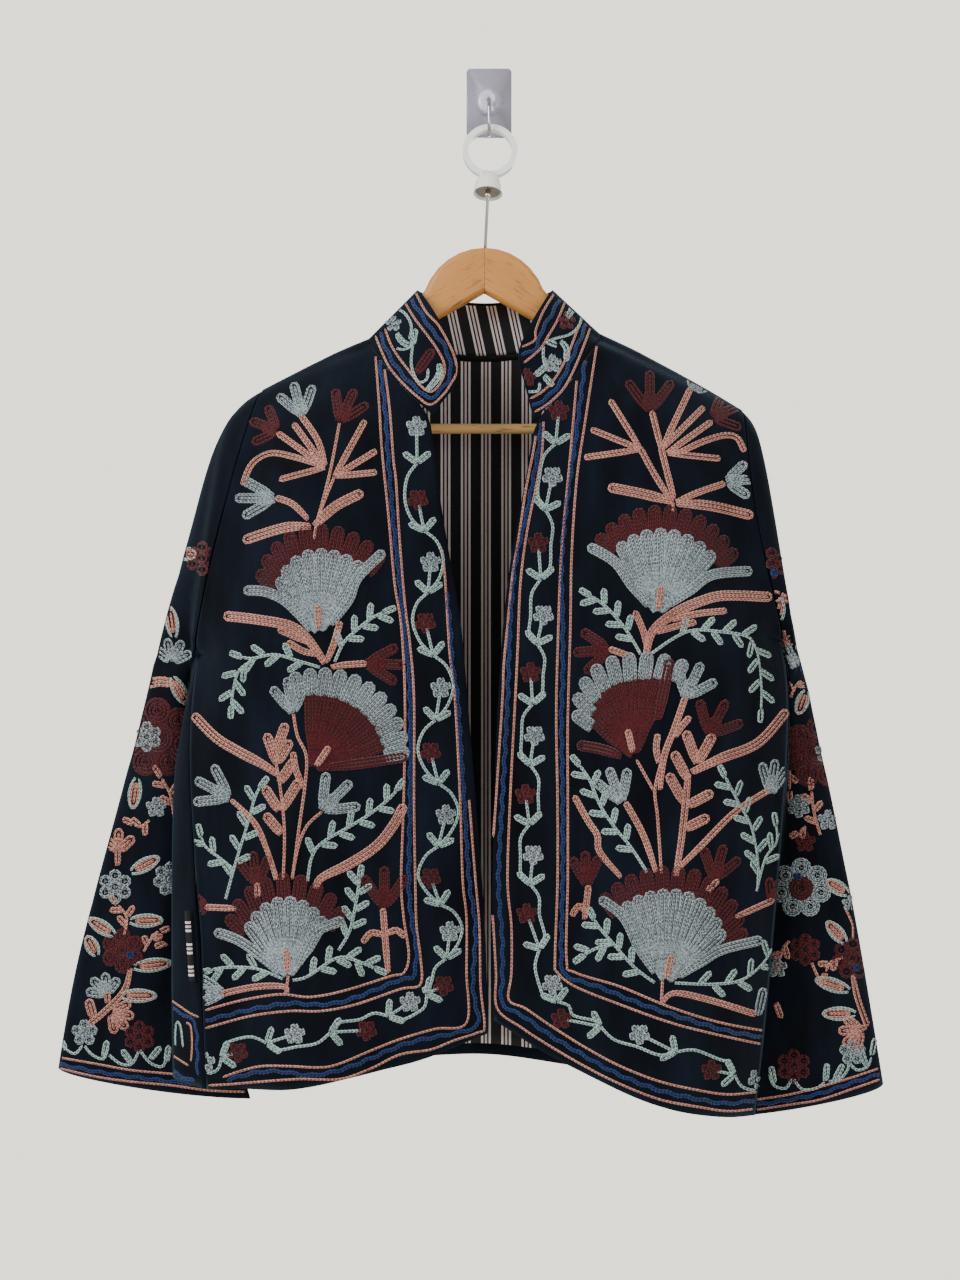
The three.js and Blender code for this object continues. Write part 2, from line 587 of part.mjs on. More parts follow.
// The right front's lining makes room for the pocket bag behind the slit.
const BAG = { wall: 0.7, rows: [14, 14.3, 14.85, 15.4, 15.6], columns: [10, 10.5, 11, 11.7], room: 1.4 };
const roomForBag = (t, j) => shallow() + (j >= BAG.columns[0] && t > 14 && t < 15.8 ? BAG.room : 0);
add("lining_right", wallInside(panels.right, liningRows, frontColumns, LINING, roomForBag), "stripe");
add("lining_left", wallInside(panels.left, liningRows, frontColumns, LINING, shallow), "stripe");
add("pocket_bag_right", wallInside(panels.right, BAG.rows, BAG.columns, BAG.wall, shallow), "stripe");

// Between the neck points the back's lining reaches up to the neckline: its first rows are close
// together under the shoulder seams and spread out between them.
const SPREAD = { shoulder: [2.5, 2.6, 2.7, 2.8, 2.9], neck: [0.3, 0.5, 1, 1.5, 2.2] };
const spreadRow = (t, j) => {
  const i = SPREAD.shoulder.indexOf(t);
  const fromBlade = Math.min(j - BLADE, LAST_BACK - BLADE - j);
  return i < 0 ? t : lerp(t, SPREAD.neck[i], clamp01(fromBlade / 2));
};
const backRows = [...SPREAD.shoulder, ...liningRows.filter((t) => t >= 3)];
const napeRoom = (t, j) => shallow() + (t < 3 && Math.abs(j - LAST_BACK / 2) < 5 ? 0.6 : 0);
add("lining_back", wallInside(panels.back, backRows, backColumns, LINING, napeRoom, spreadRow), "stripe");

// The collar's inner face is lined too.
{
  const inset = (i) => lerp(0.06, 0.94, i / (COLLAR_ROWS - 1));
  const top = collarGrid[COLLAR_ROWS - 1];
  const grid = collarGrid.map((row, i) => row.slice(1, -1).map((_, j) => collarGrid[0][j + 1].clone().lerp(top[j + 1], inset(i))));
  const normals = collarNormals.map((row) => row.slice(1, -1));
  add("collar_lining", clothWall(grid, normals, LINING, shallow), "stripe");
}

// ---- booleans ------------------------------------------------------------------------------
function solid(geometry) {
  const bare = geometry.clone();
  bare.deleteAttribute("normal");
  bare.deleteAttribute("uv");
  const merged = mergeVertices(bare, 1e-3);
  return new wasm.Manifold(
    new wasm.Mesh({
      numProp: 3,
      vertProperties: merged.attributes.position.array,
      triVerts: new Uint32Array(merged.index.array),
    }),
  );
}
function geometryOf(made) {
  const mesh = made.getMesh();
  return new THREE.BufferGeometry()
    .setAttribute("position", new THREE.BufferAttribute(mesh.vertProperties, 3))
    .setIndex(new THREE.BufferAttribute(mesh.triVerts, 1));
}

// A round rod from one point to another.
function rod(from, to, radius, sides = 16) {
  const a = new THREE.Vector3(...from);
  const b = new THREE.Vector3(...to);
  const rodShape = new THREE.CylinderGeometry(radius, radius, a.distanceTo(b), sides);
  const turn = new THREE.Quaternion().setFromUnitVectors(
    new THREE.Vector3(0, 1, 0),
    b.clone().sub(a).normalize(),
  );
  const middle = a.clone().add(b).multiplyScalar(0.5);
  return rodShape.applyQuaternion(turn).translate(middle.x, middle.y, middle.z);
}

// ---- hanger --------------------------------------------------------------------------------
const HANGER = {
  x: -4, // its middle
  top: -135,
  dome: 50, // radius of the head
  thick: 12,
  round: 5, // rounding of the long edges
  reach: 172, // from the middle to the arm's tip
  clear: 3, // from a shoulder seam down to the arm under it
};
const BAR = { z: -279, radius: 4, tenon: 12 };
// Where the arm passes under the collar, as x and z.
const UNDER_COLLAR = {
  right: [[-57, -176], [-71, -189.5], [-84, -202.5], [-94, -211]],
  left: [[52, -178], [66, -191], [78, -202], [87, -208]],
};

// The height of a shoulder seam at x.
function ridgeAt(side, x) {
  const top = frontGrid[side][0];
  const i = top.findIndex((p) => Math.abs(p.x) >= Math.abs(x));
  return lerp(top[i - 1].z, top[i].z, (x - top[i - 1].x) / (top[i].x - top[i - 1].x));
}

// Half of the hanger's outline, from the top of its head round the arm to the lower notch.
function armOutline(side) {
  const sign = side === "right" ? -1 : 1;
  const point = (across, z) => new THREE.Vector2(HANGER.x + sign * across, z);
  const headCentre = HANGER.top - HANGER.dome;
  const head = [0, 12, 24, 36, 48, 60, 70].map((degrees) => {
    const angle = THREE.MathUtils.degToRad(degrees);
    return point(HANGER.dome * Math.sin(angle), headCentre + HANGER.dome * Math.cos(angle));
  });
  const underCollar = UNDER_COLLAR[side].map(([x, z]) => new THREE.Vector2(x, z));
  const underSeam = [100, 115, 130, 145, HANGER.reach - 16].map((across) => {
    const x = HANGER.x + sign * across;
    return new THREE.Vector2(x, ridgeAt(side, x) - HANGER.clear);
  });
  const tip = ridgeAt(side, HANGER.x + sign * HANGER.reach);
  return [
    ...head,
    ...underCollar,
    ...underSeam,
    point(HANGER.reach - 4, tip - HANGER.clear - 3),
    point(HANGER.reach, tip - HANGER.clear - 14),
    point(HANGER.reach - 1, BAR.z - 5),
    point(HANGER.reach - 8, BAR.z - 12),
    point(HANGER.reach - 20, BAR.z - 9),
    point(38, -192.5),
    point(0, -171),
  ];
}

// ---- ring, pin and washer ------------------------------------------------------------------
// The pin leans forward from the wall. Its axis is the local z, from its foot in the wood up
// to the ring that hangs on the hook.
const FOOT = new THREE.Vector3(HANGER.x, RIDGE_Y, -147);
const RING_MIDDLE = new THREE.Vector3(0.7, -23, -50);
const LEAN = new THREE.Quaternion().setFromUnitVectors(
  new THREE.Vector3(0, 0, 1),
  RING_MIDDLE.clone().sub(FOOT).normalize(),
);
const PIN = { radius: 1.25, ball: 2.8, head: 3.2 };
const RING = { height: RING_MIDDLE.distanceTo(FOOT), outer: 22.4, inner: 17.6, thick: 4, tall: 1.05 };
const BELL = { mouth: 61, rim: 12, bore: 11.2, waist: 10.7, roof: 67, top: 77.5 };
const WASHER = { radius: 10.1, hole: 1.8, thick: 1, height: 62.8 };

const leaned = (geometry) =>
  geometry.applyQuaternion(LEAN).translate(FOOT.x, FOOT.y, FOOT.z);
const lathe = (profile, sides) =>
  new THREE.LatheGeometry(profile.map(([r, h]) => new THREE.Vector2(r, h)), sides).rotateX(Math.PI / 2);

{
  const right = armOutline("right");
  const left = armOutline("left");
  const outline = new THREE.Shape([...right.reverse().slice(0, -1), ...left.slice(0, -1)]);
  const inset = HANGER.round;
  const whole = new THREE.ExtrudeGeometry(outline, {
    depth: HANGER.thick - 2 * inset,
    bevelThickness: inset,
    bevelSize: inset,
    bevelOffset: -inset,
    bevelSegments: 3,
    curveSegments: 1,
  });
  whole.rotateX(Math.PI / 2).translate(0, RIDGE_Y + HANGER.thick / 2 - inset, 0);
  const tenons = HANGER.reach - BAR.tenon;
  const mortise = rod([HANGER.x - tenons, RIDGE_Y, BAR.z], [HANGER.x + tenons, RIDGE_Y, BAR.z], BAR.radius + SEAM);
  const hole = leaned(new THREE.CylinderGeometry(PIN.radius + SEAM, PIN.radius + SEAM, 30, 12).rotateX(Math.PI / 2).translate(0, 0, 15 - SEAM));
  const wood = solid(whole).subtract(solid(mortise)).subtract(solid(hole));
  add("hanger_arm_right", geometryOf(wood.trimByPlane([-1, 0, 0], -HANGER.x + SEAM / 2)), "wood");
  add("hanger_arm_left", geometryOf(wood.trimByPlane([1, 0, 0], HANGER.x + SEAM / 2)), "wood");
  add(
    "hanger_bar",
    rod([HANGER.x - tenons + SEAM, RIDGE_Y, BAR.z], [HANGER.x + tenons - SEAM, RIDGE_Y, BAR.z], BAR.radius),
    "wood",
  );
}

// A flat ring with a bell under it.
{
  const half = RING.thick / 2;
  const band = new THREE.LatheGeometry(
    [[RING.inner, -half], [RING.outer, -half], [RING.outer, half], [RING.inner, half], [RING.inner, -half]].map(
      ([r, h]) => new THREE.Vector2(r, h),
    ),
    32,
  )
    .scale(1, 1, RING.tall)
    .translate(0, 0, RING.height);
  const bell = lathe(
    [
      [0, BELL.roof], [BELL.bore - 1.7, BELL.roof], [BELL.bore, BELL.mouth], [BELL.rim, BELL.mouth],
      [BELL.waist, BELL.top - 7.5], [BELL.waist - 2.2, BELL.top - 2.5], [4.5, BELL.top], [0, BELL.top],
    ],
    20,
  ).scale(1, 0.9, 1);
  add("hanger_ring", geometryOf(solid(leaned(band)).add(solid(leaned(bell)))), "white");
}
add(
  "hanger_washer",
  leaned(
    lathe(
      [[WASHER.hole, 0], [WASHER.radius, 0], [WASHER.radius, WASHER.thick], [WASHER.hole, WASHER.thick], [WASHER.hole, 0]],
      20,
    )
      .scale(0.97, 0.86, 1)
      .translate(0, 0, WASHER.height),
  ),
  "steel",
);
// The pin has a ball under the washer and a head over it.
{
  const under = WASHER.height - SEAM;
  const over = WASHER.height + WASHER.thick + SEAM;
  const { radius, ball, head } = PIN;
  const round = [30, 60, 90, 120, 150].map((degrees) => {
    const angle = THREE.MathUtils.degToRad(degrees);
    return [ball * Math.sin(angle), under - ball - ball * Math.cos(angle)];
  });
  add(
    "hanger_pin",
    leaned(
      lathe(
        [[0, 0], [radius, 0], [radius, under - 1.9 * ball], ...round, [radius, under - 0.1 * ball], [radius, over], [head, over], [head, over + 1.5], [0, over + 1.5]],
        12,
      ),
    ),
    "steel",
  );
}

// ---- wall hook -----------------------------------------------------------------------------
const PLATE = { width: 37.5, height: 57, thick: 2, corner: 3.5 };
const BOSS = { radius: 12, face: 6.5, top: -8 };
const WIRE = 1.5; // radius
const J = [[0, -5.4, 0], [0, -9.4, -0.1], [0, -12.8, -2.8], [0, -14, -10], [0, -14, -26], [0, -17, -33.9], [0, -22.5, -34.5], [0, -26.5, -28.4], [0, -27, -13]];
{
  const [w, h, r] = [PLATE.width / 2, PLATE.height / 2, PLATE.corner];
  const outline = new THREE.Shape();
  outline.moveTo(-w + r, -h);
  outline.absarc(w - r, -h + r, r, -Math.PI / 2, 0);
  outline.absarc(w - r, h - r, r, 0, Math.PI / 2);
  outline.absarc(-w + r, h - r, r, Math.PI / 2, Math.PI);
  outline.absarc(-w + r, -h + r, r, Math.PI, 1.5 * Math.PI);
  const sheet = new THREE.ExtrudeGeometry(outline, { depth: PLATE.thick, bevelEnabled: false, curveSegments: 4 }).rotateX(Math.PI / 2);
  // The boss is a shallow dome, turned round the y axis.
  const profile = [[0, -1], [BOSS.radius, -1], [BOSS.radius, -3.5], [BOSS.radius - 1.5, -5.5], [BOSS.face + 2, -7.3], [BOSS.face, BOSS.top], [0, BOSS.top]];
  const boss = new THREE.LatheGeometry(profile.reverse().map(([radius, y]) => new THREE.Vector2(radius, y)), 24);
  const hole = rod([0, -5 + SEAM, 0], [0, -12, 0], WIRE + SEAM, 12);
  add("wall_plate", geometryOf(solid(sheet).add(solid(boss)).subtract(solid(hole))), "clear");

  const path = new THREE.CatmullRomCurve3(J.map((p) => new THREE.Vector3(...p)), false, "centripetal");
  const section = new THREE.Shape();
  section.absarc(0, 0, WIRE, 0, 2 * Math.PI);
  const wire = new THREE.ExtrudeGeometry(section, { steps: 22, extrudePath: path, curveSegments: 5, bevelEnabled: false });
  add("wall_hook", wire, "steel");
}

export default jacket;
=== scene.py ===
"""An embroidered black velvet jacket on a wooden hanger, hung by a clear adhesive wall hook."""

import math

import bmesh
import bpy
from mathutils import Matrix, Vector
from mathutils.bvhtree import BVHTree


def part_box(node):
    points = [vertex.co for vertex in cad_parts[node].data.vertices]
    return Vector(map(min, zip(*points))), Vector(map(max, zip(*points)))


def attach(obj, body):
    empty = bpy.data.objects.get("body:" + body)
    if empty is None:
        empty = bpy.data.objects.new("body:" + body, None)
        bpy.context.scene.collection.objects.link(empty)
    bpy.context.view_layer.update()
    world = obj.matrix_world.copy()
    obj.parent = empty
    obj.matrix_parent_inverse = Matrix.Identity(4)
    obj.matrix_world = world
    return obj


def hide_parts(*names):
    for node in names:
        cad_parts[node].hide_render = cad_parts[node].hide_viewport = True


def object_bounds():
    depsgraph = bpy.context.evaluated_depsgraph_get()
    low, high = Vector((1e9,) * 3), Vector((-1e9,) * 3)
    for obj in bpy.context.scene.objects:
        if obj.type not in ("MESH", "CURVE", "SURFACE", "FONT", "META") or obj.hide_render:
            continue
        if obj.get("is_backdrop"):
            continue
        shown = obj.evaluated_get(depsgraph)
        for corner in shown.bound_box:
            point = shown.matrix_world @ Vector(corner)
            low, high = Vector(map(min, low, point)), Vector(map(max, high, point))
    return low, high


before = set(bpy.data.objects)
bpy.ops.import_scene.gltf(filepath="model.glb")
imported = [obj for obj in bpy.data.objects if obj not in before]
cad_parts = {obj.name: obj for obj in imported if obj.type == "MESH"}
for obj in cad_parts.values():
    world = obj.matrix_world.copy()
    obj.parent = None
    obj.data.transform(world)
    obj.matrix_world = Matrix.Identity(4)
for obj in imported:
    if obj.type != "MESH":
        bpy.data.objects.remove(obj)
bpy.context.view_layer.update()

MM = 0.001


# ---- wall plate ----------------------------------------------------------------------------
# A clear, faintly violet plastic plate that is glued to the wall by its back, with a shallow
# moulded dome in its middle that holds the wire hook.


def rgb(red, green, blue):
    """A colour given on the usual 0 to 255 scale, as the shader's linear values."""
    shares = [c / 255 for c in (red, green, blue)]
    linear = [s / 12.92 if s < 0.0404 else ((s + 0.055) / 1.055) ** 2.4 for s in shares]
    return (*linear, 1.0)


class Value:
    """A socket of a finish, for shader maths written as plain expressions."""

    def __init__(self, finish, socket):
        self.finish = finish
        self.socket = socket

    def maths(self, operation, *values):
        return self.finish.node("ShaderNodeMath", {"operation": operation}, dict(enumerate(values)))

    def __add__(self, other):
        return self.maths("ADD", self, other)

    def __sub__(self, other):
        return self.maths("SUBTRACT", self, other)

    def __rsub__(self, other):
        return self.maths("SUBTRACT", other, self)

    def __mul__(self, other):
        return self.maths("MULTIPLY", self, other)

    def __mod__(self, other):
        return self.maths("FLOORED_MODULO", self, other)

    def __abs__(self):
        return self.maths("ABSOLUTE", self)

    def __gt__(self, other):
        return self.maths("GREATER_THAN", self, other)

    def __lt__(self, other):
        return self.maths("LESS_THAN", self, other)

    __radd__ = __add__
    __rmul__ = __mul__


class Finish:
    """One material: constants go on the shader's own sockets, what varies comes from nodes."""

    def __init__(self, name, constants):
        self.material = bpy.data.materials.new(name)
        self.material.use_nodes = True
        self.tree = self.material.node_tree
        self.shader = self.tree.nodes["Principled BSDF"]
        for key, value in constants.items():
            self.shader.inputs[key].default_value = value

    def node(self, kind, settings=None, inputs=None, output=0):
        """A node with its settings made first, then its sockets' values or links."""
        made = self.tree.nodes.new(kind)
        for key, value in (settings or {}).items():
            if key == "stops":
                ramp = made.color_ramp.elements
                while len(ramp) < len(value):
                    ramp.new(1.0)
                for stop, (place, colour) in zip(ramp, value):
                    stop.position = place
                    stop.color = colour
            else:
                setattr(made, key, value)
        for key, value in (inputs or {}).items():
            if isinstance(value, Value):
                self.tree.links.new(value.socket, made.inputs[key])
            else:
                made.inputs[key].default_value = value
        return Value(self, made.outputs[output])

    def place(self, scale=(1, 1, 1), turn=(0, 0, 0)):
        """The point on the piece, in the jacket's own frame, turned and then stretched."""
        here = self.node("ShaderNodeTexCoord", output="Object")
        turned = self.node("ShaderNodeMapping", inputs={"Vector": here, "Rotation": turn})
        return self.node("ShaderNodeVectorMath", {"operation": "MULTIPLY"}, {0: turned, 1: scale})

    def noise(self, at, scale, detail=3.0, roughness=0.55):
        inputs = {"Vector": at, "Scale": scale, "Detail": detail, "Roughness": roughness}
        return self.node("ShaderNodeTexNoise", inputs=inputs)

    def ramp(self, factor, *stops):
        return self.node("ShaderNodeValToRGB", {"stops": stops}, {"Fac": factor})

    def mix(self, share, one, other):
        """A colour between one and other."""
        return self.node("ShaderNodeMix", {"data_type": "RGBA"}, {0: share, 6: one, 7: other}, output=2)

    def between(self, share, low, high):
        """A number between low and high."""
        return share * (high - low) + low

    def set(self, links):
        for key, value in links.items():
            self.tree.links.new(value.socket, self.shader.inputs[key])

    def bump(self, height, distance, strength=1.0):
        inputs = {"Height": height, "Distance": distance, "Strength": strength}
        self.set({"Normal": self.node("ShaderNodeBump", inputs=inputs)})


def shown(mesh, finish, stands_for=()):
    """Puts a finished mesh into the scene as a piece of the jacket."""
    mesh.materials.clear()
    mesh.materials.append(finish.material)
    piece = bpy.data.objects.new(mesh.name, mesh)
    bpy.context.scene.collection.objects.link(piece)
    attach(piece, "root")
    if stands_for:
        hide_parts(*stands_for)
    return piece


TOUCHING = 0.01 * MM  # points closer than this are one


def merged(node):
    """A copy of a solid with its loose triangles joined at their corners."""
    made = bmesh.new()
    made.from_mesh(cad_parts[node].data)
    bmesh.ops.remove_doubles(made, verts=made.verts, dist=TOUCHING)
    return made


def finished(name, made, sharp=math.pi):
    """The mesh of a shape, shaded smooth but for edges that turn more than the angle sharp."""
    mesh = bpy.data.meshes.new(name)
    made.to_mesh(mesh)
    made.free()
    mesh.shade_smooth()
    if sharp < math.pi:
        mesh.set_sharp_from_angle(angle=sharp)
    return mesh


SHARP = math.radians(32)  # an edge of a hard piece that turns more than this stays sharp

plate_clear = Finish(
    "plate_clear",
    {"Base Color": rgb(196, 194, 214), "IOR": 1.49, "Transmission Weight": 0.55, "Coat Weight": 0.3},
)
plate_smudges = plate_clear.noise(plate_clear.place(), scale=60)
plate_clear.set({"Roughness": plate_clear.between(plate_smudges, 0.08, 0.3)})
shown(finished("plate", merged("wall_plate"), SHARP), plate_clear, ["wall_plate"])


# ---- wire hook -----------------------------------------------------------------------------
# A bent steel wire, chrome plated, moulded into the dome of the plate.

hook_chrome = Finish("hook_chrome", {"Base Color": rgb(178, 179, 184), "Metallic": 1.0})
hook_haze = hook_chrome.noise(hook_chrome.place(), scale=300)
hook_chrome.set({"Roughness": hook_chrome.between(hook_haze, 0.1, 0.28)})
shown(finished("hook", merged("wall_hook"), SHARP), hook_chrome, ["wall_hook"])


# ---- ring ----------------------------------------------------------------------------------
# A flat metal ring in glossy white enamel, with a small bell under it that covers the end of
# the pin.

ring_white = Finish("ring_white", {"Coat Weight": 0.6, "Coat Roughness": 0.08})
ring_wear = ring_white.noise(ring_white.place(), scale=90)
ring_white.set(
    {
        "Base Color": ring_white.mix(ring_wear, rgb(244, 250, 248), rgb(253, 255, 254)),
        "Roughness": ring_white.between(ring_wear, 0.2, 0.4),
    }
)
shown(finished("ring", merged("hanger_ring"), SHARP), ring_white, ["hanger_ring"])


# ---- washer and pin ------------------------------------------------------------------------
# A loose pressed washer closes the bell from below. The pin hangs in it by its head, turns
# freely, and is screwed into the wood.

washer_metal = Finish("washer_metal", {"Metallic": 1.0})
washer_wear = washer_metal.noise(washer_metal.place(), scale=220, detail=5)
washer_metal.set(
    {
        "Base Color": washer_metal.mix(washer_wear, rgb(118, 106, 98), rgb(172, 162, 152)),
        "Roughness": washer_metal.between(washer_wear, 0.25, 0.5),
    }
)
shown(finished("washer", merged("hanger_washer"), SHARP), washer_metal, ["hanger_washer"])

pin_metal = Finish("pin_metal", {"Base Color": rgb(214, 211, 204), "Metallic": 1.0})
pin_haze = pin_metal.noise(pin_metal.place((1, 1, 0.1)), scale=400)
pin_metal.set({"Roughness": pin_metal.between(pin_haze, 0.12, 0.3)})
shown(finished("pin", merged("hanger_pin"), SHARP), pin_metal, ["hanger_pin"])


# ---- wooden hanger -------------------------------------------------------------------------
# Two arms sawn from beech boards, mitred and glued in the middle, with rounded edges and clear
# satin lacquer. Their grain runs along each arm. A turned bar joins their lower ends.

GRAIN_TILT = {"right": math.radians(31), "left": math.radians(-31), "bar": 0.0}


def beech(name, tilt, pale, dark):
    """Lacquered beech whose grain runs along X, turned by tilt about Y."""
    wood = Finish(name, {"Coat Weight": 0.25, "Coat Roughness": 0.25})
    turn = (0, tilt, 0)
    rings = wood.noise(wood.place((6, 60, 60), turn), scale=1.3, detail=4)
    pores = wood.noise(wood.place((60, 700, 700), turn), scale=1.0, detail=2)
    flecks = wood.ramp(pores, (0.3, (0, 0, 0, 1)), (0.42, (1, 1, 1, 1)))
    figure = wood.mix(rings, pale, dark)
    wood.set(
        {
            "Base Color": wood.mix(flecks, rgb(146, 94, 44), figure),
            "Roughness": wood.between(rings, 0.38, 0.55),
        }
    )
    wood.bump(pores, 0.15 * MM, strength=0.4)
    return wood


for side in ("right", "left"):
    arm_wood = beech("beech_" + side, GRAIN_TILT[side], rgb(216, 152, 76), rgb(168, 108, 46))
    node = "hanger_arm_" + side
    shown(finished("arm_" + side, merged(node), SHARP), arm_wood, [node])
bar_wood = beech("beech_bar", GRAIN_TILT["bar"], rgb(228, 188, 122), rgb(198, 148, 82))
shown(finished("bar", merged("hanger_bar"), SHARP), bar_wood, ["hanger_bar"])

# A thin line of dark glue fills the mitre between the two arms.
mitre_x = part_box("hanger_arm_right")[1][0]
glue_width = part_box("hanger_arm_left")[0][0] - mitre_x
joint = merged("hanger_arm_right")
beyond = [f for f in joint.faces if min(v.co.x for v in f.verts) < mitre_x - TOUCHING]
bmesh.ops.delete(joint, geom=beyond, context="FACES")
grown = bmesh.ops.extrude_face_region(joint, geom=joint.faces[:], use_keep_orig=True)
moved = [v for v in grown["geom"] if isinstance(v, bmesh.types.BMVert)]
bmesh.ops.translate(joint, verts=moved, vec=(glue_width, 0, 0))
bmesh.ops.recalc_face_normals(joint, faces=joint.faces)
glue = Finish("glue", {"Specular IOR Level": 0.3})
glue_tone = glue.noise(glue.place(), scale=400)
glue.set(
    {
        "Base Color": glue.mix(glue_tone, rgb(96, 58, 24), rgb(132, 84, 38)),
        "Roughness": glue.between(glue_tone, 0.5, 0.7),
    }
)
shown(finished("glue_line", joint, SHARP), glue)


# ---- lining --------------------------------------------------------------------------------
# Thin black cotton with groups of three pale woven lines that run down the garment. It is cut
# like the shell, hung inside it and sewn round its edges. A patch of it faces the collar.

CREASES = {
    # both ends of each crease as they are seen from the front, its width, and how far it presses
    # the cloth in (a trough) or, below 0, lifts it (a ridge), all in millimetres
    "front": [
        ((-202, -267), (-220, -409), 6, -2.3),
        ((-210, -276), (-227, -409), 7, 3.1),
        ((-96, -218), (-101, -284), 10, 2.3),
        ((-148, -218), (-160, -323), 22, 2.2),
        ((-198, -385), (-204, -541), 13, -2.5),
        ((-187, -494), (-190, -697), 14, 2.5),
        ((-107, -385), (-118, -650), 20, 2.2),
        ((-149, -674), (-153, -786), 14, -2.2),
        ((-51, -494), (-48, -713), 13, 1.6),
        ((-190, -721), (-192, -791), 12, 2.5),
        ((-92, -713), (-95, -775), 12, -2.2),
        ((198, -284), (216, -409), 7, -2.3),
        ((206, -292), (225, -416), 8, 2.8),
        ((117, -221), (139, -323), 20, 2.2),
        ((88, -385), (92, -635), 18, 2.0),
        ((164, -432), (173, -682), 20, -2.3),
        ((194, -455), (200, -674), 13, 2.8),
        ((75, -650), (78, -760), 12, -2.2),
        ((133, -728), (136, -794), 13, 2.3),
        ((181, -697), (184, -806), 11, -2.3),
        ((32, -385), (25, -650), 12, 1.4),
        ((-229, -448), (-268, -469), 9, 4.7),
        ((-235, -490), (-273, -466), 8, -2.8),
        ((-245, -507), (-290, -547), 10, 2.8),
        ((-266, -382), (-227, -410), 9, 2.0),
        ((-279, -572), (-305, -697), 13, 3.1),
        ((-252, -596), (-271, -760), 11, -2.5),
        ((-312, -650), (-323, -767), 9, 2.0),
        ((228, -444), (264, -466), 9, 4.0),
        ((231, -487), (267, -496), 8, -2.6),
        ((241, -526), (272, -544), 9, 2.5),
        ((251, -580), (277, -697), 13, 3.1),
        ((281, -650), (294, -772), 10, -2.5),
        ((234, -705), (242, -803), 11, 2.3),
    ],
    "back": [
        ((-148, -245), (-156, -385), 22, 2.5),
        ((-54, -284), (-64, -713), 20, 2.3),
        ((24, -323), (32, -728), 24, -2.0),
        ((119, -245), (129, -416), 20, 2.6),
        ((-187, -416), (-195, -697), 16, 3.1),
        ((164, -432), (177, -713), 15, 2.9),
        ((-101, -494), (-108, -760), 18, -2.5),
        ((86, -510), (95, -767), 17, 2.6),
        ((-15, -611), (-18, -767), 13, 2.3),
    ],
}


CREASE_REACH = 2.5  # a crease has died out this many widths from its middle


def crease_at(x, z, creases):
    """How deep the creases press the cloth at x, z, in metres."""
    total = 0.0
    for (x0, z0), (x1, z1), width, depth in creases:
        dx = x1 - x0
        dz = z1 - z0
        along = ((x / MM - x0) * dx + (z / MM - z0) * dz) / (dx * dx + dz * dz)
        share = min(1.0, max(0.0, along))
        away = math.hypot(x / MM - x0 - share * dx, z / MM - z0 - share * dz) / width
        if away < CREASE_REACH:
            total += depth * MM * math.exp(-away * away) * math.sin(math.pi * share) ** 0.5
    return total


RIM = math.radians(45.8)  # an edge that turns more is the rim of a cloth wall, and stays sharp
STRIPES_MIDDLE = -2.6 * MM  # a group of stripes lies in the middle of the garment, here
COLLAR_SLANT = 0.22  # the lining of the collar is cut off the grain, so its stripes lean
COLLAR_FOOT = -232 * MM


def cloth(node, levels=2):
    """A smooth copy of a cloth wall: squares for its triangles, rounded but for its rims."""
    made = merged(node)
    any_angle = math.pi
    bmesh.ops.join_triangles(
        made, faces=made.faces, angle_face_threshold=any_angle, angle_shape_threshold=any_angle
    )
    crease = made.edges.layers.float.new("crease_edge")
    for edge in made.edges:
        if edge.calc_face_angle(0) > RIM:
            edge[crease] = 1.0
    coarse = finished(node + "_coarse", made)
    carrier = bpy.data.objects.new(node + "_coarse", coarse)
    bpy.context.scene.collection.objects.link(carrier)
    rounding = carrier.modifiers.new("rounding", "SUBSURF")
    rounding.levels = rounding.render_levels = levels
    carrier_now = carrier.evaluated_get(bpy.context.evaluated_depsgraph_get())
    mesh = bpy.data.meshes.new_from_object(carrier_now)
    bpy.data.objects.remove(carrier)
    bpy.data.meshes.remove(coarse)
    mesh.name = node + "_cloth"
    threads = mesh.uv_layers.new(name="threads")
    face, inwards = ("back", -1) if node in ("back", "lining_back") else ("front", 1)
    for vertex in mesh.vertices:
        vertex.co.y += inwards * crease_at(vertex.co.x, vertex.co.z, CREASES[face])
    for corner in mesh.loops:
        at = mesh.vertices[corner.vertex_index].co
        slant = COLLAR_SLANT * (at.z - COLLAR_FOOT) if node == "collar_lining" else 0
        threads.data[corner.index].uv = (at.x - STRIPES_MIDDLE + slant, at.z)
    return mesh


STRIPE_PERIOD = 16.6 * MM  # from one group of stripes to the next
STRIPE_GROUP = 8.0 * MM
STRIPE_LINES = (
    # edges of each line in millimetres, and its colour
    (0.0, 1.8, rgb(220, 213, 214)),
    (3.1, 4.9, rgb(212, 192, 196)),
    (6.2, 8.0, rgb(220, 213, 214)),
)

stripe = Finish("stripe", {"Sheen Weight": 0.08, "Specular IOR Level": 0.3})
thread_map = stripe.node("ShaderNodeUVMap", {"uv_map": "threads"})
across = stripe.node("ShaderNodeSeparateXYZ", inputs={0: thread_map})
in_period = (across + STRIPE_GROUP / 2) % STRIPE_PERIOD
weave = stripe.noise(stripe.place(), scale=900, detail=2)
ground = stripe.mix(weave, rgb(8, 7, 10), rgb(26, 24, 30))
for low, high, line_colour in STRIPE_LINES:
    inside = (in_period > low * MM) * (in_period < high * MM)
    ground = stripe.mix(inside * (weave * 0.5 + 0.7), ground, line_colour)
stripe.set({"Base Color": ground, "Roughness": weave * 0.2 + 0.7})
stripe.bump(weave, 0.1 * MM, strength=0.5)

LININGS = {
    # node: cut size, and its real flat area, in metres
    "lining_right": ((0.235, 0.600), 0.102),
    "lining_left": ((0.235, 0.610), 0.109),
    "lining_back": ((0.510, 0.600), 0.263),
    "collar_lining": ((0.400, 0.050), 0.0144),
    "pocket_bag_right": ((0.052, 0.060), 0.0019),
}
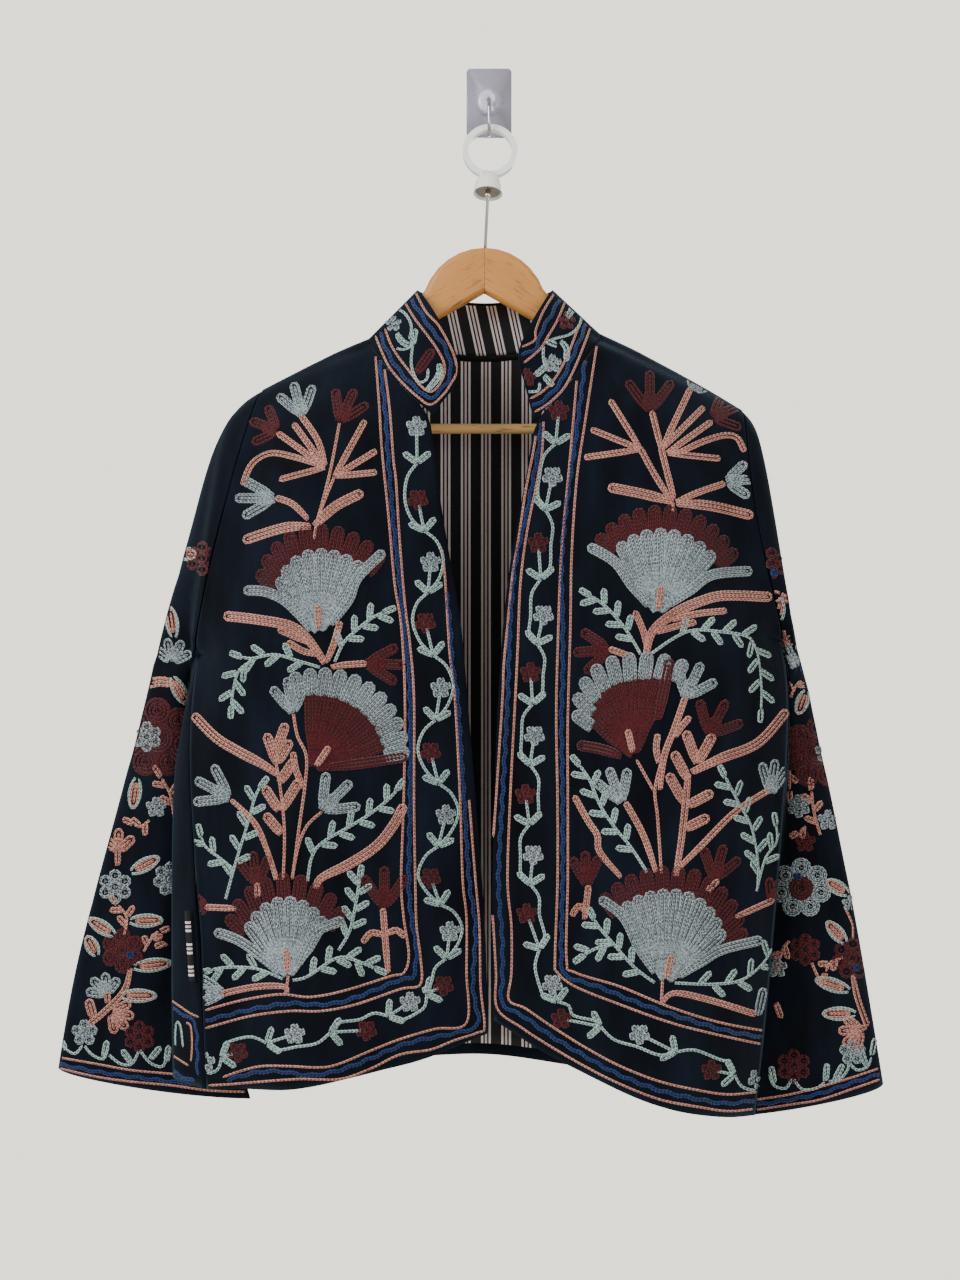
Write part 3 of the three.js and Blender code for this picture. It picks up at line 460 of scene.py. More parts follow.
# The lip of the pocket bag, in millimetres: its two ends, its size, and how it swells and
# shrinks on its way down, as a share and in radians.
LIP = ((-228.8, -86.5, -652.0), (-225.0, -88.0, -704.0))
LIP_WIDTH = 4.2
LIP_BULGE = 1.2
LIP_WALL = 0.7
LIP_SWELL = 0.3
LIP_SWELLS = 11
BAG_SIDE = -220.5  # the bag itself ends here, and the lip lies beyond


def lipped(mesh):
    """The pocket bag with the lip of its cut edge, which peeps out of the side slit."""
    made = bmesh.new()
    made.from_mesh(mesh)
    threads = made.loops.layers.uv["threads"]
    own = bmesh.ops.create_grid(made, x_segments=4, y_segments=16, size=1)["verts"]
    skin = list({f for v in own for f in v.link_faces})
    top, foot = Vector(LIP[0]), Vector(LIP[1])
    for vertex in own:
        across = vertex.co.x
        down = (1 - vertex.co.y) / 2
        swell = 1 - LIP_SWELL + LIP_SWELL * math.sin(LIP_SWELLS * down)
        bulge = -LIP_BULGE * (1 - across * across) * swell
        vertex.co = (top.lerp(foot, down) + Vector((across * LIP_WIDTH / 2, bulge, 0))) * MM
    bmesh.ops.solidify(made, geom=skin, thickness=LIP_WALL * MM)
    grown = [f for f in made.faces if all(v.co.x < BAG_SIDE * MM for v in f.verts)]
    bmesh.ops.recalc_face_normals(made, faces=grown)
    for face in grown:
        for corner in face.loops:
            corner[threads].uv = (corner.vert.co.z, corner.vert.co.x)
    made.to_mesh(mesh)
    made.free()
    return mesh


for node, (flat, area) in LININGS.items():
    mesh = cloth(node)
    piece = shown(lipped(mesh) if node == "pocket_bag_right" else mesh, stripe, [node])


# ---- velvet shell --------------------------------------------------------------------------
# Two fronts, one back, two sleeves and a stand collar are cut from black cotton velvet with a
# dense short pile, and sewn together inside out. The jacket hangs by its shoulders.

velvet = Finish(
    "velvet",
    {
        "Sheen Weight": 0.5,
        "Sheen Roughness": 0.35,
        "Sheen Tint": rgb(94, 124, 152),
        "Specular IOR Level": 0.08,
    },
)
nap = velvet.noise(velvet.place((1, 1, 0.4)), scale=30, detail=5)
strokes = velvet.noise(velvet.place((1, 1, 0.12)), scale=170, detail=2)
pile = velvet.noise(velvet.place(), scale=1300, detail=2)
brushed = velvet.mix(velvet.between(nap, -0.6, 1.6), rgb(0, 0, 2), rgb(21, 29, 43))
rubbed = velvet.mix(strokes * 0.5, brushed, rgb(5, 8, 16))
velvet.set({"Base Color": velvet.mix(pile * 0.4, rubbed, rgb(2, 4, 10)), "Roughness": nap * 0.2 + 0.75})
velvet.bump(pile + nap * 1.5 + strokes * 0.6, 0.3 * MM, strength=0.8)

SHELL = {
    "back": ((0.520, 0.620), 0.277),
    "front_right": ((0.235, 0.600), 0.109),
    "front_left": ((0.235, 0.610), 0.1175),
    "sleeve_right": ((0.330, 0.550), 0.085),
    "sleeve_left": ((0.320, 0.560), 0.071),
    "collar": ((0.400, 0.055), 0.0173),
}
panel = {}
for node, (flat, area) in SHELL.items():
    mesh = cloth(node)
    panel[node] = BVHTree.FromPolygons([v.co for v in mesh.vertices], [p.vertices for p in mesh.polygons])
    piece = shown(mesh, velvet, [node])

# A narrow binding of plain black cotton covers the seam behind the neck, inside and out.
BINDING_REACH = 60 * MM
BINDING_CUTS = 23
BINDING_HALF = (3.1 * MM, 2.9 * MM)  # half of its depth and of its height
NAPE = (-17.2 * MM, -217.6 * MM)  # depth and height of the seam at the middle of the neck
NAPE_BOW = (-1.48, 1.89)  # how far the seam comes forward and rises toward the shoulders, a metre
NAPE_LEAN = 0.024  # its left end hangs higher

binding = bmesh.new()
lying = Matrix.Rotation(math.radians(90), 4, "Y")
bmesh.ops.create_cone(
    binding, cap_ends=True, segments=12, radius1=1, radius2=1, depth=2, matrix=lying
)
lengthwise = [e for e in binding.edges if abs(e.verts[0].co.x - e.verts[1].co.x) > 1]
bmesh.ops.subdivide_edges(binding, edges=lengthwise, cuts=BINDING_CUTS)
for vertex in binding.verts:
    x = vertex.co.x * BINDING_REACH
    y = NAPE[0] + NAPE_BOW[0] * x * x
    z = NAPE[1] + NAPE_BOW[1] * x * x + NAPE_LEAN * x
    vertex.co = (x, y + vertex.co.y * BINDING_HALF[0], z + vertex.co.z * BINDING_HALF[1])
bmesh.ops.recalc_face_normals(binding, faces=binding.faces)
twill = Finish("twill", {"Sheen Weight": 0.05, "Specular IOR Level": 0.1})
twill_lines = twill.noise(twill.place((1, 1, 3)), scale=900, detail=2)
twill.set(
    {
        "Base Color": twill.mix(twill_lines, rgb(6, 6, 9), rgb(26, 26, 32)),
        "Roughness": twill_lines * 0.2 + 0.7,
    }
)
twill.bump(twill_lines, 0.15 * MM, strength=0.6)
shown(finished("neck_binding", binding, SHARP), twill)


# ---- collar embroidery ---------------------------------------------------------------------
# Rows of hand-worked chain stitch in soft cotton floss, drawn from the front: three lines run
# round each end of the collar, with a vine of flowers and leaves between them.

# The pattern is laid out in millimetres, as it is seen from EYE on an upright plane in front of
# the wall, and each point is carried on to the velvet behind it.
EYE = Vector((-7.5, -910, -447.6)) * MM
LAYOUT_Y = -60
STEP = 1.5  # distance between the points of a smooth line
STITCH = 3.0  # length of one loop of the chain
ROW = 2.8  # width of a row of stitches
PROUD = 0.8  # height of a row over the velvet
LAYER = 0.3  # how much higher a patch lies that is sewn over another
SUNK = 0.25  # depth of a row's foot in the pile
LAG = 0.32  # how far a row's edges lag behind its middle, in stitches
LEAP = 4 * STITCH  # a row that would have to leap further breaks off
FEWEST = 4  # points of the shortest row
GRAZING = -0.1  # velvet that turns further away from the eye takes no stitch
SAME_POINT = 0.00001 * MM
CORNERS = (-1, -0.5, 0, 0.5, 1, -1)  # of a row's section, from edge to edge and back below
SECTIONS = {
    # height at each corner as a share of PROUD, and width as a share of the row's
    "waist": ((0.0, 0.6, 0.9, 0.6, 0.0, 0.0), 0.8),
    "belly": ((0.0, 1.0, 0.4, 1.0, 0.0, 0.0), 1.1),
    "end": ((0.0,) * 6, 0.0),
}
TIP = 0.45  # how far the middle one of an odd number of rows runs past the others, in rows
CUP, ROOT, FINGER, SHORTER = 0.42, 0.1, 0.9, 0.08  # a tulip's parts, as shares of its size
LEAF_WIDTH = 12.0
HEART = (0.16, 0.82)  # where the filling of a leaf starts and ends, as shares of its length
LEAF_ENDS = (0.03, 0.97)  # the part of half a wave that a leaf's edge follows
RINGS = 0.92  # distance from one ring of a disc to the next, in widths of a row
INNERMOST = 0.3  # radius of the smallest ring, in the same
DOT, DOT_ROW = 0.7, 0.8  # radius of the knot that closes a disc, and its width in rows
OVERLAP = 1.12  # how much larger round petals are than those that would just touch
PETAL_ROW = 1.2  # the widest row of a petal, in rows
CORE = 1.75  # a flower's core ends this many times a petal's radius inside its edge
LEAFLET, LEAFLET_TURN = 11.0, 48  # length of a fern's leaflets, and their angle with the stem
FERN_SPAN = (0.2, 0.9)  # the part of a fern's stem that bears leaflets
FAN_CURVE = 1.6  # the higher, the longer a fan keeps the reach that it has at its top
RIM_SPREAD = 1.22  # the rim of a fan reaches further round than the tufts inside it
RIM_DROOP = 0.25  # share by which the last fingers of the rim are shorter
RIM_DIP = 2  # how deep the fingers start under the ends of the tufts
RIM_FOOT, TUFT_FOOT = 0.85, 0.55  # spread of the rows at the foot of a finger and of a tuft
TUFT_GAP = 0.93  # distance between fat tufts at their ends, in their widths
FAN_ROWS = (
    # tufts for each fat one, where they start and end as shares of the reach, and their rows
    (2, 0.06, 0.5, 2),
    (1, 0.34, 1.0, 4),
)
PISTIL = (5, 16)  # how far from a fan's foot its pistil starts, and its length
PISTIL_LIFT = 1.0
WAVE, WAVE_LENGTH = 0.65, 15.0  # height and length of the blue line's waves in a border
BORDER_ROWS = {"coral": 0.78, "blue": 1.3}  # width of a border's lines, in rows
VINE_BULGE = 10.0  # how far a vine's stem goes round its flowers
VINE_FLOWER = 8.8  # radius of its flowers
VINE_LEAF, VINE_LEAF_TURN = 11, 52  # length of the leaves at its forks, and their angle with it


def spot(point):
    """A point of the layout as a vector."""
    return Vector(point[:2])


def heading(degrees):
    """The way that lies the given angle clockwise from straight up."""
    turned = math.radians(degrees)
    return Vector((math.sin(turned), math.cos(turned)))


def angle(way):
    """The angle of a way clockwise from straight up, in degrees."""
    return math.degrees(math.atan2(way.x, way.y))


def course(line, at):
    """The angle at which a line runs past one of its points."""
    return angle(line[min(len(line) - 1, at + 2)] - line[max(0, at - 2)])


def even_shares(count):
    """A number of places at even distances between -1 and 1."""
    return [2 * (i + 0.5) / count - 1 for i in range(count)]


def even(points, step):
    """The points of a line, shifted along it so that they lie about a step apart."""
    lengths = [0.0]
    for a, b in zip(points, points[1:]):
        lengths.append(lengths[-1] + (b - a).length)
    count = max(2, round(lengths[-1] / step))
    found = []
    i = 0
    for k in range(count + 1):
        reach = lengths[-1] * k / count
        while i < len(points) - 2 and lengths[i + 1] < reach:
            i += 1
        share = (reach - lengths[i]) / max(1e-9, lengths[i + 1] - lengths[i])
        found.append(points[i].lerp(points[i + 1], min(1.0, share)))
    return found


def bent(points):
    """A smooth line through a few points, as points about STEP apart."""
    points = [spot(p) for p in points]
    last = len(points) - 1
    cuts = 10
    dense = []
    for i in range(last):
        a, b, c, d = points[max(0, i - 1)], points[i], points[i + 1], points[min(last, i + 2)]
        for k in range(cuts):
            f = k / cuts
            dense.append(b + 0.5 * f * (c - a + f * (2 * a - 5 * b + 4 * c - d + f * (3 * (b - c) + d - a))))
    return even(dense + [points[-1]], STEP)


def beside(points, distances):
    """The points of a line moved to its left, each by its own distance."""
    moved = []
    for i, p in enumerate(points):
        way = (points[min(len(points) - 1, i + 1)] - points[max(0, i - 1)]).normalized()
        moved.append(p + Vector((-way.y, way.x)) * distances[i])
    return moved


def row_section(run, k, width, lift):
    """The corners of a row's section at its point k, each with its place along and across."""
    hit, normal = run[k]
    way = (run[min(len(run) - 1, k + 1)][0] - run[max(0, k - 1)][0]).normalized()
    across = way.cross(normal).normalized()
    end = k in (0, len(run) - 1)
    heights, share = SECTIONS["end" if end else "belly" if k % 2 else "waist"]
    corners = []
    for s, height in zip(CORNERS, heights):
        back = way * (0 if end else LAG * STITCH * MM * abs(s))
        side = across * (s * share * width / 2 * MM)
        up = normal * ((height * PROUD + lift - SUNK * (1 - height)) * MM)
        corners.append((hit + side + up - back, (k / 2, (s + 1) / 2)))
    return corners


class Needlework:
    """Chain stitch on one panel of velvet, gathered by the colour of its thread."""

    def __init__(self, node, eye=EYE, layout_y=LAYOUT_Y):
        self.node = node
        self.side = "front" if eye == EYE else "rear"
        self.eye = eye
        self.layout_y = layout_y
        self.runs = {}
        self.lift = 0.0  # how high the next rows lie over the velvet, on rows sewn before

    def on_cloth(self, point):
        """Where a point of the layout lies on the panel, with the cloth's normal."""
        aim = (Vector((point.x, self.layout_y, point.y)) * MM - self.eye).normalized()
        hit, normal, _, _ = panel[self.node].ray_cast(self.eye, aim)
        return None if hit is None or normal.dot(aim) > GRAZING else (hit, normal)

    def row(self, thread, points, width=ROW, smooth=True):
        """One row of chain stitch along a line; where the line leaves the panel it breaks."""
        line = bent(points) if smooth else [spot(p) for p in points]
        run = []
        for place in [self.on_cloth(p) for p in even(line, STITCH / 2)] + [None]:
            if place and (not run or (place[0] - run[-1][0]).length < LEAP * MM):
                run.append(place)
                continue
            if len(run) >= FEWEST:
                self.runs.setdefault(thread, []).append((run, width, self.lift))
            run = [place] if place else []

    def stroke(self, thread, points, rows=2, foot=0.5):
        """Rows side by side, joined by a round tip. They start foot times as far apart as they
        lie from a third of their length on."""
        middle = bent(points)
        last = len(middle) - 1
        swell = [foot + (1 - foot) * min(1.0, 3 * i / last) for i in range(last + 1)]
        way = (middle[-1] - middle[-2]).normalized()
        side = Vector((-way.y, way.x))
        for pair in range(rows // 2):
            half = ROW * ((rows - 1) / 2 - pair)
            left = beside(middle, [half * s for s in swell])
            right = beside(middle, [-half * s for s in swell])
            bow = [
                middle[-1] + side * half * math.cos(a) + way * half * math.sin(a)
                for a in (math.pi / 4, math.pi / 2, 3 * math.pi / 4)
            ]
            self.row(thread, left + bow + right[::-1], smooth=False)
        if rows % 2:
            self.row(thread, middle + [middle[-1] + way * ROW * TIP], smooth=False)

    def lobe(self, thread, foot, way, length, rows):
        """A straight finger of rows."""
        foot = spot(foot)
        self.stroke(thread, (foot, foot + heading(way) * length), rows)

    def tulip(self, thread, foot, way, size, fingers=3, spread=46):
        """A cupped flower of fat fingers on a common foot."""
        foot = spot(foot)
        self.stroke(thread, (foot, foot + heading(way) * size * CUP), 4)
        for i in range(fingers):
            off = i - (fingers - 1) / 2
            out = way + off * spread
            root = foot + heading(out) * size * ROOT
            self.lobe(thread, root, out, size * (FINGER - SHORTER * abs(off)), 3)

    def leaf(self, foot, way, length):
        """A leaf with a mint rim and a heart filled with coral."""
        foot = spot(foot)
        out = heading(way)
        side = Vector((out.y, -out.x))
        half = (LEAF_WIDTH - ROW) / 2
        start, end = LEAF_ENDS
        edge = [
            foot + out * length * f + side * half * math.sin(math.pi * (start + f * (end - start))) ** 0.7
            for f in (0.0, 0.1, 0.25, 0.45, 0.65, 0.82, 0.94)
        ]
        other = [p - side * 2 * (p - foot).dot(side) for p in edge]
        self.row("mint", edge + [foot + out * length] + other[::-1])
        self.stroke("coral", [foot + out * length * share for share in HEART], 3)

    def disc(self, thread, middle, radius, width):
        """A round patch, stitched in rings from its edge to its middle."""
        reach = radius - width / 2
        while reach > INNERMOST * width:
            steps = max(6, round(4 * math.pi * reach / STITCH))
            ring = [middle + heading(360 * k / steps) * reach for k in range(steps + 2)]
            self.row(thread, ring, width, smooth=False)
            reach -= width * RINGS
        knot = [middle + heading(60 * k) * DOT for k in range(9)]
        self.row(thread, knot, ROW * DOT_ROW, smooth=False)

    def posy(self, thread, middle, radius, petals=5, core=None, turn=0):
        """A flower of round petals that just overlap, with a disc over their roots."""
        middle = spot(middle)
        share = math.sin(math.pi / petals)
        petal = radius * share / (1 + share) * OVERLAP
        for i in range(petals):
            out = heading(turn + 360 * i / petals)
            self.disc(thread, middle + out * (radius - petal), petal, min(ROW * PETAL_ROW, petal))
        self.lift += LAYER
        heart = max(ROW * 0.9, radius - CORE * petal)
        self.disc(core or thread, middle, heart, min(ROW, heart))
        self.lift -= LAYER

    def fern(self, points, leaflets):
        """A mint stem with short double leaflets, left and right in turn, and one at its tip."""
        stem = bent(points)
        tip = round(LEAFLET / STEP)
        self.row("mint", stem[: 2 - tip], smooth=False)
        self.stroke("mint", stem[-tip:])
        first, last = FERN_SPAN
        for i in range(leaflets):
            at = round((first + (last - first) * i / leaflets) * (len(stem) - 1))
            turn = LEAFLET_TURN if i % 2 else -LEAFLET_TURN
            self.lobe("mint", stem[at], course(stem, at) + turn, LEAFLET, 2)

    def fan(self, foot, lean, half, radius, inner, outer, rim, horns=()):
        """A pomegranate flower: fat tufts spread from its foot, with a rim of fingers round them.

        It opens toward lean, by the angle half to each side. Its radius is given at the left, top
        and right, and rim is the height of the fingers. Horns are strokes that curl out of it.
        """
        foot = spot(foot)
        wide = half * RIM_SPREAD

        def reach(share):
            left, top, right = radius
            return top + ((left if share < 0 else right) - top) * abs(share) ** FAN_CURVE

        def on_rim(share, out):
            along = heading(lean + wide * share)
            return foot + along * (reach(share) + out * (1 - RIM_DROOP * share * share))

        girth = math.radians(2 * wide) * (sum(radius) / 3 + rim * 0.6)
        fingers = round(girth / (4 * ROW))
        over = LAYER if outer == "silver" else 0.0  # the pale tips lie over the dark ones
        self.lift = over
        for share in even_shares(fingers):
            self.stroke(outer, (on_rim(share, -RIM_DIP), on_rim(share, rim)), 4, RIM_FOOT)
        self.lift = LAYER - over
        fat = round(math.radians(2 * half) * max(radius) / (4 * ROW * TUFT_GAP))
        for tufts, start, end, rows in FAN_ROWS:
            for share in even_shares(tufts * fat):
                out = heading(lean + half * share) * reach(share)
                self.stroke(inner, (foot + out * start, foot + out * end), rows, TUFT_FOOT)
        self.lift = 2 * LAYER
        for line in horns:
            self.stroke(inner, line, 3)
        self.lift = PISTIL_LIFT
        root, length = PISTIL
        self.stroke("coral", (foot + heading(lean) * root, foot + heading(lean) * (root + length)))
        self.lift = 0.0

    def border(self, *lines):
        """Coral lines with a wavy blue one between them."""
        for number, line in enumerate(lines):
            thread = "blue" if number % 2 else "coral"
            path = bent(line)
            if thread == "blue":
                wave = [WAVE * math.sin(2 * math.pi * i * STEP / WAVE_LENGTH) for i in range(len(path))]
                path = beside(path, wave)
            self.row(thread, path, ROW * BORDER_ROWS[thread], smooth=False)

    def vine(self, stops, threads):
        """A winding stem that passes its flowers by turns left and right, forked between them."""
        stops = [spot(s) for s in stops]
        forks = [a.lerp(b, 0.5) for a, b in zip(stops, stops[1:])]
        for i, (here, fork) in enumerate(zip(stops, forks)):
            way = (fork - here).normalized()
            self.row("mint", (here + way * 4, fork))
            for turn in (-VINE_LEAF_TURN, VINE_LEAF_TURN):
                self.lobe("mint", fork, angle(way) + 180 + turn, VINE_LEAF, 2)
            ahead = stops[i + 1]
            side = Vector((-way.y, way.x)) * (VINE_BULGE if i % 2 else -VINE_BULGE)
            stem = [fork, fork.lerp(ahead, 0.4) + side * 0.8]
            if i + 1 < len(forks):
                stem += [ahead + side, ahead.lerp(forks[i + 1], 0.6) + side * 0.8, forks[i + 1]]
            else:
                stem += [ahead + side * 0.9, ahead + side * 0.5 + way * 7]
            self.row("mint", stem)
        for i, stop in enumerate(stops):
            self.posy(threads[i % 2], stop, VINE_FLOWER, turn=36 * i)

    def sewn(self):
        """Each colour's rows as one piece that lies on the panel."""
        for thread, runs in self.runs.items():
            corners = []
            breaks = set()
            for run, width, lift in runs:
                for k in range(len(run)):
                    corners += row_section(run, k, width, lift)
                breaks.add(len(corners) // len(CORNERS) - 1)
            rings = len(corners) // len(CORNERS)
            made = bmesh.new()
            bmesh.ops.create_grid(made, x_segments=len(CORNERS) - 1, y_segments=rings - 1, size=1)
            stitch = made.loops.layers.uv.new("stitch")
            made.verts.ensure_lookup_table()
            made.faces.ensure_lookup_table()
            for vertex in made.verts:
                vertex.co = corners[vertex.index][0]
            bridges = []
            for face in made.faces:
                if min(v.index for v in face.verts) // len(CORNERS) in breaks:
                    bridges.append(face)
                for loop in face.loops:
                    loop[stitch].uv = corners[loop.vert.index][1]
            bmesh.ops.delete(made, geom=bridges, context="FACES")
            bmesh.ops.remove_doubles(made, verts=made.verts, dist=SAME_POINT)
            bmesh.ops.recalc_face_normals(made, faces=made.faces)
            shown(finished("_".join((self.node, self.side, thread)), made), FLOSS[thread])


HOLE_HALF = (0.34, 0.16)  # half of the hole in a stitch that painted shade darkens, as shares of its length and width
ROW_SIDE = 0.4  # painted shade darkens a row where it is further than this from its middle, in widths
SHADE = 0.35  # how bright the painted shade of a thread is beside its darker tone


def floss(name, dark, pale):
    """Soft cotton thread: paler on its raised loops, with painted shade that darkens the hole of each stitch
    and the sides of each row.
    """
    thread = Finish(name, {"Sheen Weight": 0.15, "Sheen Roughness": 0.5, "Specular IOR Level": 0.2})
    at = thread.node("ShaderNodeUVMap", {"uv_map": "stitch"})
    along = thread.node("ShaderNodeSeparateXYZ", inputs={0: at})
    across = thread.node("ShaderNodeSeparateXYZ", inputs={0: at}, output=1)
    off_middle = abs(across - 0.5)
    hole_shade = (abs(along % 1.0 - 0.5) < HOLE_HALF[0]) * (off_middle < HOLE_HALF[1])
    strands = thread.noise(thread.place(), scale=700, detail=2)
    batch = thread.noise(thread.place(), scale=25, detail=2)
    colour = thread.mix(strands * 1.7 + batch * 0.5 - 0.65, rgb(*dark), rgb(*pale))
    shade = rgb(*(c * SHADE for c in dark))
    # painted shade: the thread is drawn toward its shaded tone in the hole of each stitch, which stands
    # partly for the dark velvet seen through it, and at the sides of each row, where the rows meet
    painted_shade = hole_shade * 0.85 + (off_middle > ROW_SIDE) * 0.6
    thread.set({"Base Color": thread.mix(painted_shade, colour, shade), "Roughness": strands * 0.2 + 0.75})
    thread.bump(strands, 0.2 * MM, strength=0.5)
    return thread


THREADS = {
    # darker and paler tone of each colour
    "coral": ((132, 78, 66), (232, 172, 158)),
    "maroon": ((42, 6, 12), (104, 30, 38)),
    "mint": ((96, 128, 124), (196, 222, 219)),
    "silver": ((62, 76, 84), (190, 206, 212)),
    "blue": ((9, 24, 66), (31, 64, 128)),
}
FLOSS = {name: floss(name, *tones) for name, tones in THREADS.items()}

collar = Needlework("collar")
collar.border(
    (
        (-59, -174), (-50, -191), (-40, -202), (-32, -216), (-27, -228), (-26, -239), (-31, -249),
        (-36, -256), (-46, -264), (-56, -258), (-68, -247), (-78, -235), (-84, -223), (-90, -208),
    ),
    (
        (-64, -178), (-53, -194), (-45, -206), (-36, -217), (-31, -230), (-31, -242), (-36, -250),
        (-46, -259), (-54, -254), (-65, -244), (-75, -231), (-81, -220), (-86, -207),
    ),
    (
        (-68, -181), (-59, -196), (-50, -208), (-42, -219), (-36, -230), (-35, -239), (-39, -248),
        (-46, -254), (-54, -249), (-61, -240), (-71, -227), (-77, -217), (-82, -204),
    ),
)
collar.posy("silver", (-75, -201), 7)
collar.row("mint", ((-75, -188), (-66, -193), (-61, -203), (-63, -214)))
collar.stroke("mint", ((-73, -208), (-68, -215), (-62, -218)))
collar.row("mint", ((-73, -220), (-67, -221), (-61, -218), (-59, -209)))
collar.stroke("mint", ((-60, -218), (-58, -207)))
collar.row("mint", ((-60, -218), (-61, -233), (-56, -246), (-49, -244), (-48, -235)))
collar.stroke("maroon", ((-57, -240), (-51, -231), (-46, -224)), 3)
collar.stroke("mint", ((-49, -253), (-42, -245), (-38, -237)))
collar.stroke("mint", ((-38, -246), (-39, -234)))
collar.border(
    ((52, -175), (42, -191), (36, -206), (35, -214), (23, -220)),
    ((57, -178), (48, -194), (40, -208), (36, -220), (24, -226)),
    ((60, -181), (53, -198), (46, -210), (39, -221), (26, -232)),
)
collar.border(
    ((74, -192), (68, -207), (61, -225), (52, -242), (41, -254), (28, -261)),
    ((78, -194), (71, -212), (63, -230), (55, -247), (44, -259), (31, -267)),
    ((81, -197), (75, -214), (67, -234), (58, -251), (46, -263), (33, -271)),
)
collar.posy("maroon", (60, -199), 8)
collar.stroke("mint", ((63, -182), (64, -190), (61, -195)))
collar.row("mint", ((72, -193), (70, -202), (63, -209), (53, -212), (46, -214)))
collar.stroke("mint", ((55, -214), (60, -220), (60, -228)))
collar.stroke("mint", ((53, -218), (46, -215)))
collar.row("mint", ((42, -218), (42, -228), (44, -237)))
collar.posy("silver", (49, -232), 8)
collar.posy("maroon", (29, -243), 8)
collar.row("mint", ((30, -254), (38, -253), (39, -246)))
collar.stroke("mint", ((35, -242), (43, -235)))
collar.stroke("mint", ((42, -241), (48, -248)))
collar.sewn()


# ---- embroidery of the right front ---------------------------------------------------------
# A tall plant with three fan-shaped pomegranate flowers, tulips, ferns and curved stems fills
# the panel. A band with a vine between triple lines frames it down the edge and along the hem.

right = Needlework("front_right")
right.border(
    (
        (-89, -226), (-86, -266), (-84, -299), (-79, -349), (-74, -404), (-69, -436), (-66, -494),
        (-67, -572), (-69, -635), (-67, -664), (-63, -693), (-67, -707), (-78, -710), (-113, -721),
        (-140, -726), (-164, -724), (-195, -729), (-224, -737),
    ),
    (
        (-86, -226), (-81, -273), (-79, -307), (-75, -356), (-70, -404), (-65, -452), (-62, -494),
        (-62, -572), (-63, -635), (-61, -664), (-57, -689), (-60, -710), (-71, -713), (-109, -728),
        (-132, -732), (-156, -731), (-187, -736), (-224, -745),
    ),
    (
        (-82, -236), (-78, -267), (-75, -307), (-73, -324), (-70, -372), (-66, -420), (-62, -452),
        (-59, -494), (-59, -572), (-58, -635), (-57, -671), (-54, -694), (-54, -716), (-70, -720),
        (-105, -732), (-132, -737), (-156, -737), (-187, -741), (-224, -751),
    ),
)
right.border(
    (
        (-37, -377), (-35, -396), (-33, -428), (-31, -459), (-27, -494), (-23, -572), (-21, -635),
        (-18, -664), (-18, -707), (-18, -746), (-43, -751), (-70, -759), (-93, -768), (-117, -778),
        (-132, -781), (-156, -780), (-178, -780), (-195, -784), (-209, -789),
    ),
    (
        (-34, -410), (-31, -436), (-29, -468), (-25, -494), (-20, -572), (-16, -635), (-11, -671),
        (-13, -718), (-9, -746), (-22, -753), (-52, -759), (-70, -764), (-93, -774), (-117, -783),
        (-140, -787), (-164, -784), (-183, -785), (-206, -791),
    ),
    (
        (-16, -572), (-11, -635), (-8, -671), (-7, -718), (-4, -749), (-10, -754), (-28, -760),
        (-46, -767), (-70, -771), (-93, -782), (-117, -790), (-148, -790), (-178, -792), (-201, -794),
        (-220, -795),
    ),
)
right.vine(
    (
        (-57, -281), (-56, -338), (-46, -387), (-50, -434), (-38, -485), (-46, -535), (-34, -584),
        (-46, -633), (-31, -675), (-36, -717), (-62, -730), (-96, -752), (-152, -755), (-196, -769),
        (-222, -777),
    ),
    ("silver", "maroon"),
)
right.tulip("silver", (-146, -273), -15, 24, 3, 34)
right.tulip("maroon", (-165, -285), -68, 20, 3, 46)
right.tulip("maroon", (-117, -278), 25, 25, 3, 32)
for tip in ((-152, -280), (-164, -287), (-162, -322)):
    right.stroke("coral", ((-128, -313), tip))
right.stroke("coral", ((-128, -312), (-134, -292), (-146, -274)))
right.stroke("coral", ((-128, -313), (-152, -305), (-171, -302), (-185, -310), (-192, -325)))
for tip in ((-98, -278), (-90, -301), (-90, -317)):
    right.stroke("coral", ((-121, -320), tip))
right.row("coral", ((-117, -278), (-125, -319), (-135, -357)))
right.row("coral", ((-121, -320), (-130, -342), (-136, -359)))
right.stroke("coral", ((-137, -359), (-121, -344), (-102, -334)), 3)
right.stroke("coral", ((-139, -359), (-160, -360), (-189, -369)), 3)
right.stroke("coral", ((-141, -354), (-153, -342), (-165, -337)))
right.row("coral", ((-135, -357), (-137, -370)))
right.tulip("silver", (-167, -337), -90, 28, 3, 30)
right.fan((-133, -444), -3, 37, (47, 63, 61), "silver", "maroon", 19, (
    ((-139, -440), (-150, -426), (-161, -416), (-175, -410), (-188, -409)),
    ((-124, -436), (-110, -416), (-103, -399), (-85, -381)),
))
right.stroke("coral", ((-128, -466), (-141, -448), (-155, -437), (-179, -432), (-204, -429)), 3)
right.stroke("coral", ((-140, -450), (-152, -445), (-163, -440)))
right.stroke("coral", ((-135, -459), (-146, -456), (-156, -450)))
right.stroke("coral", ((-128, -466), (-122, -452), (-117, -435)))
right.fern(((-132, -469), (-149, -464), (-168, -459), (-187, -462), (-201, -458)), 5)
right.fern(((-182, -462), (-195, -471), (-200, -487), (-202, -507)), 5)
right.fern(((-121, -465), (-114, -450), (-105, -441), (-91, -430), (-75, -423)), 6)
right.stroke("coral", ((-124, -469), (-113, -467), (-98, -466)))
right.tulip("maroon", (-97, -466), 92, 27, 3, 30)
right.fan((-138, -550), 34, 40, (60, 61, 58), "maroon", "silver", 17, (
    ((-128, -547), (-101, -544), (-68, -539)),
))
right.tulip("silver", (-153, -505), -10, 25, 3, 30)
right.stroke("coral", ((-164, -553), (-178, -544), (-195, -535), (-213, -524), (-229, -508)), 3)
right.row("coral", ((-153, -505), (-150, -522), (-143, -538), (-144, -561), (-149, -597), (-154, -635)))
right.stroke("coral", ((-145, -563), (-151, -549), (-153, -537)))
right.row("coral", ((-161, -635), (-160, -597), (-163, -565), (-167, -541)))
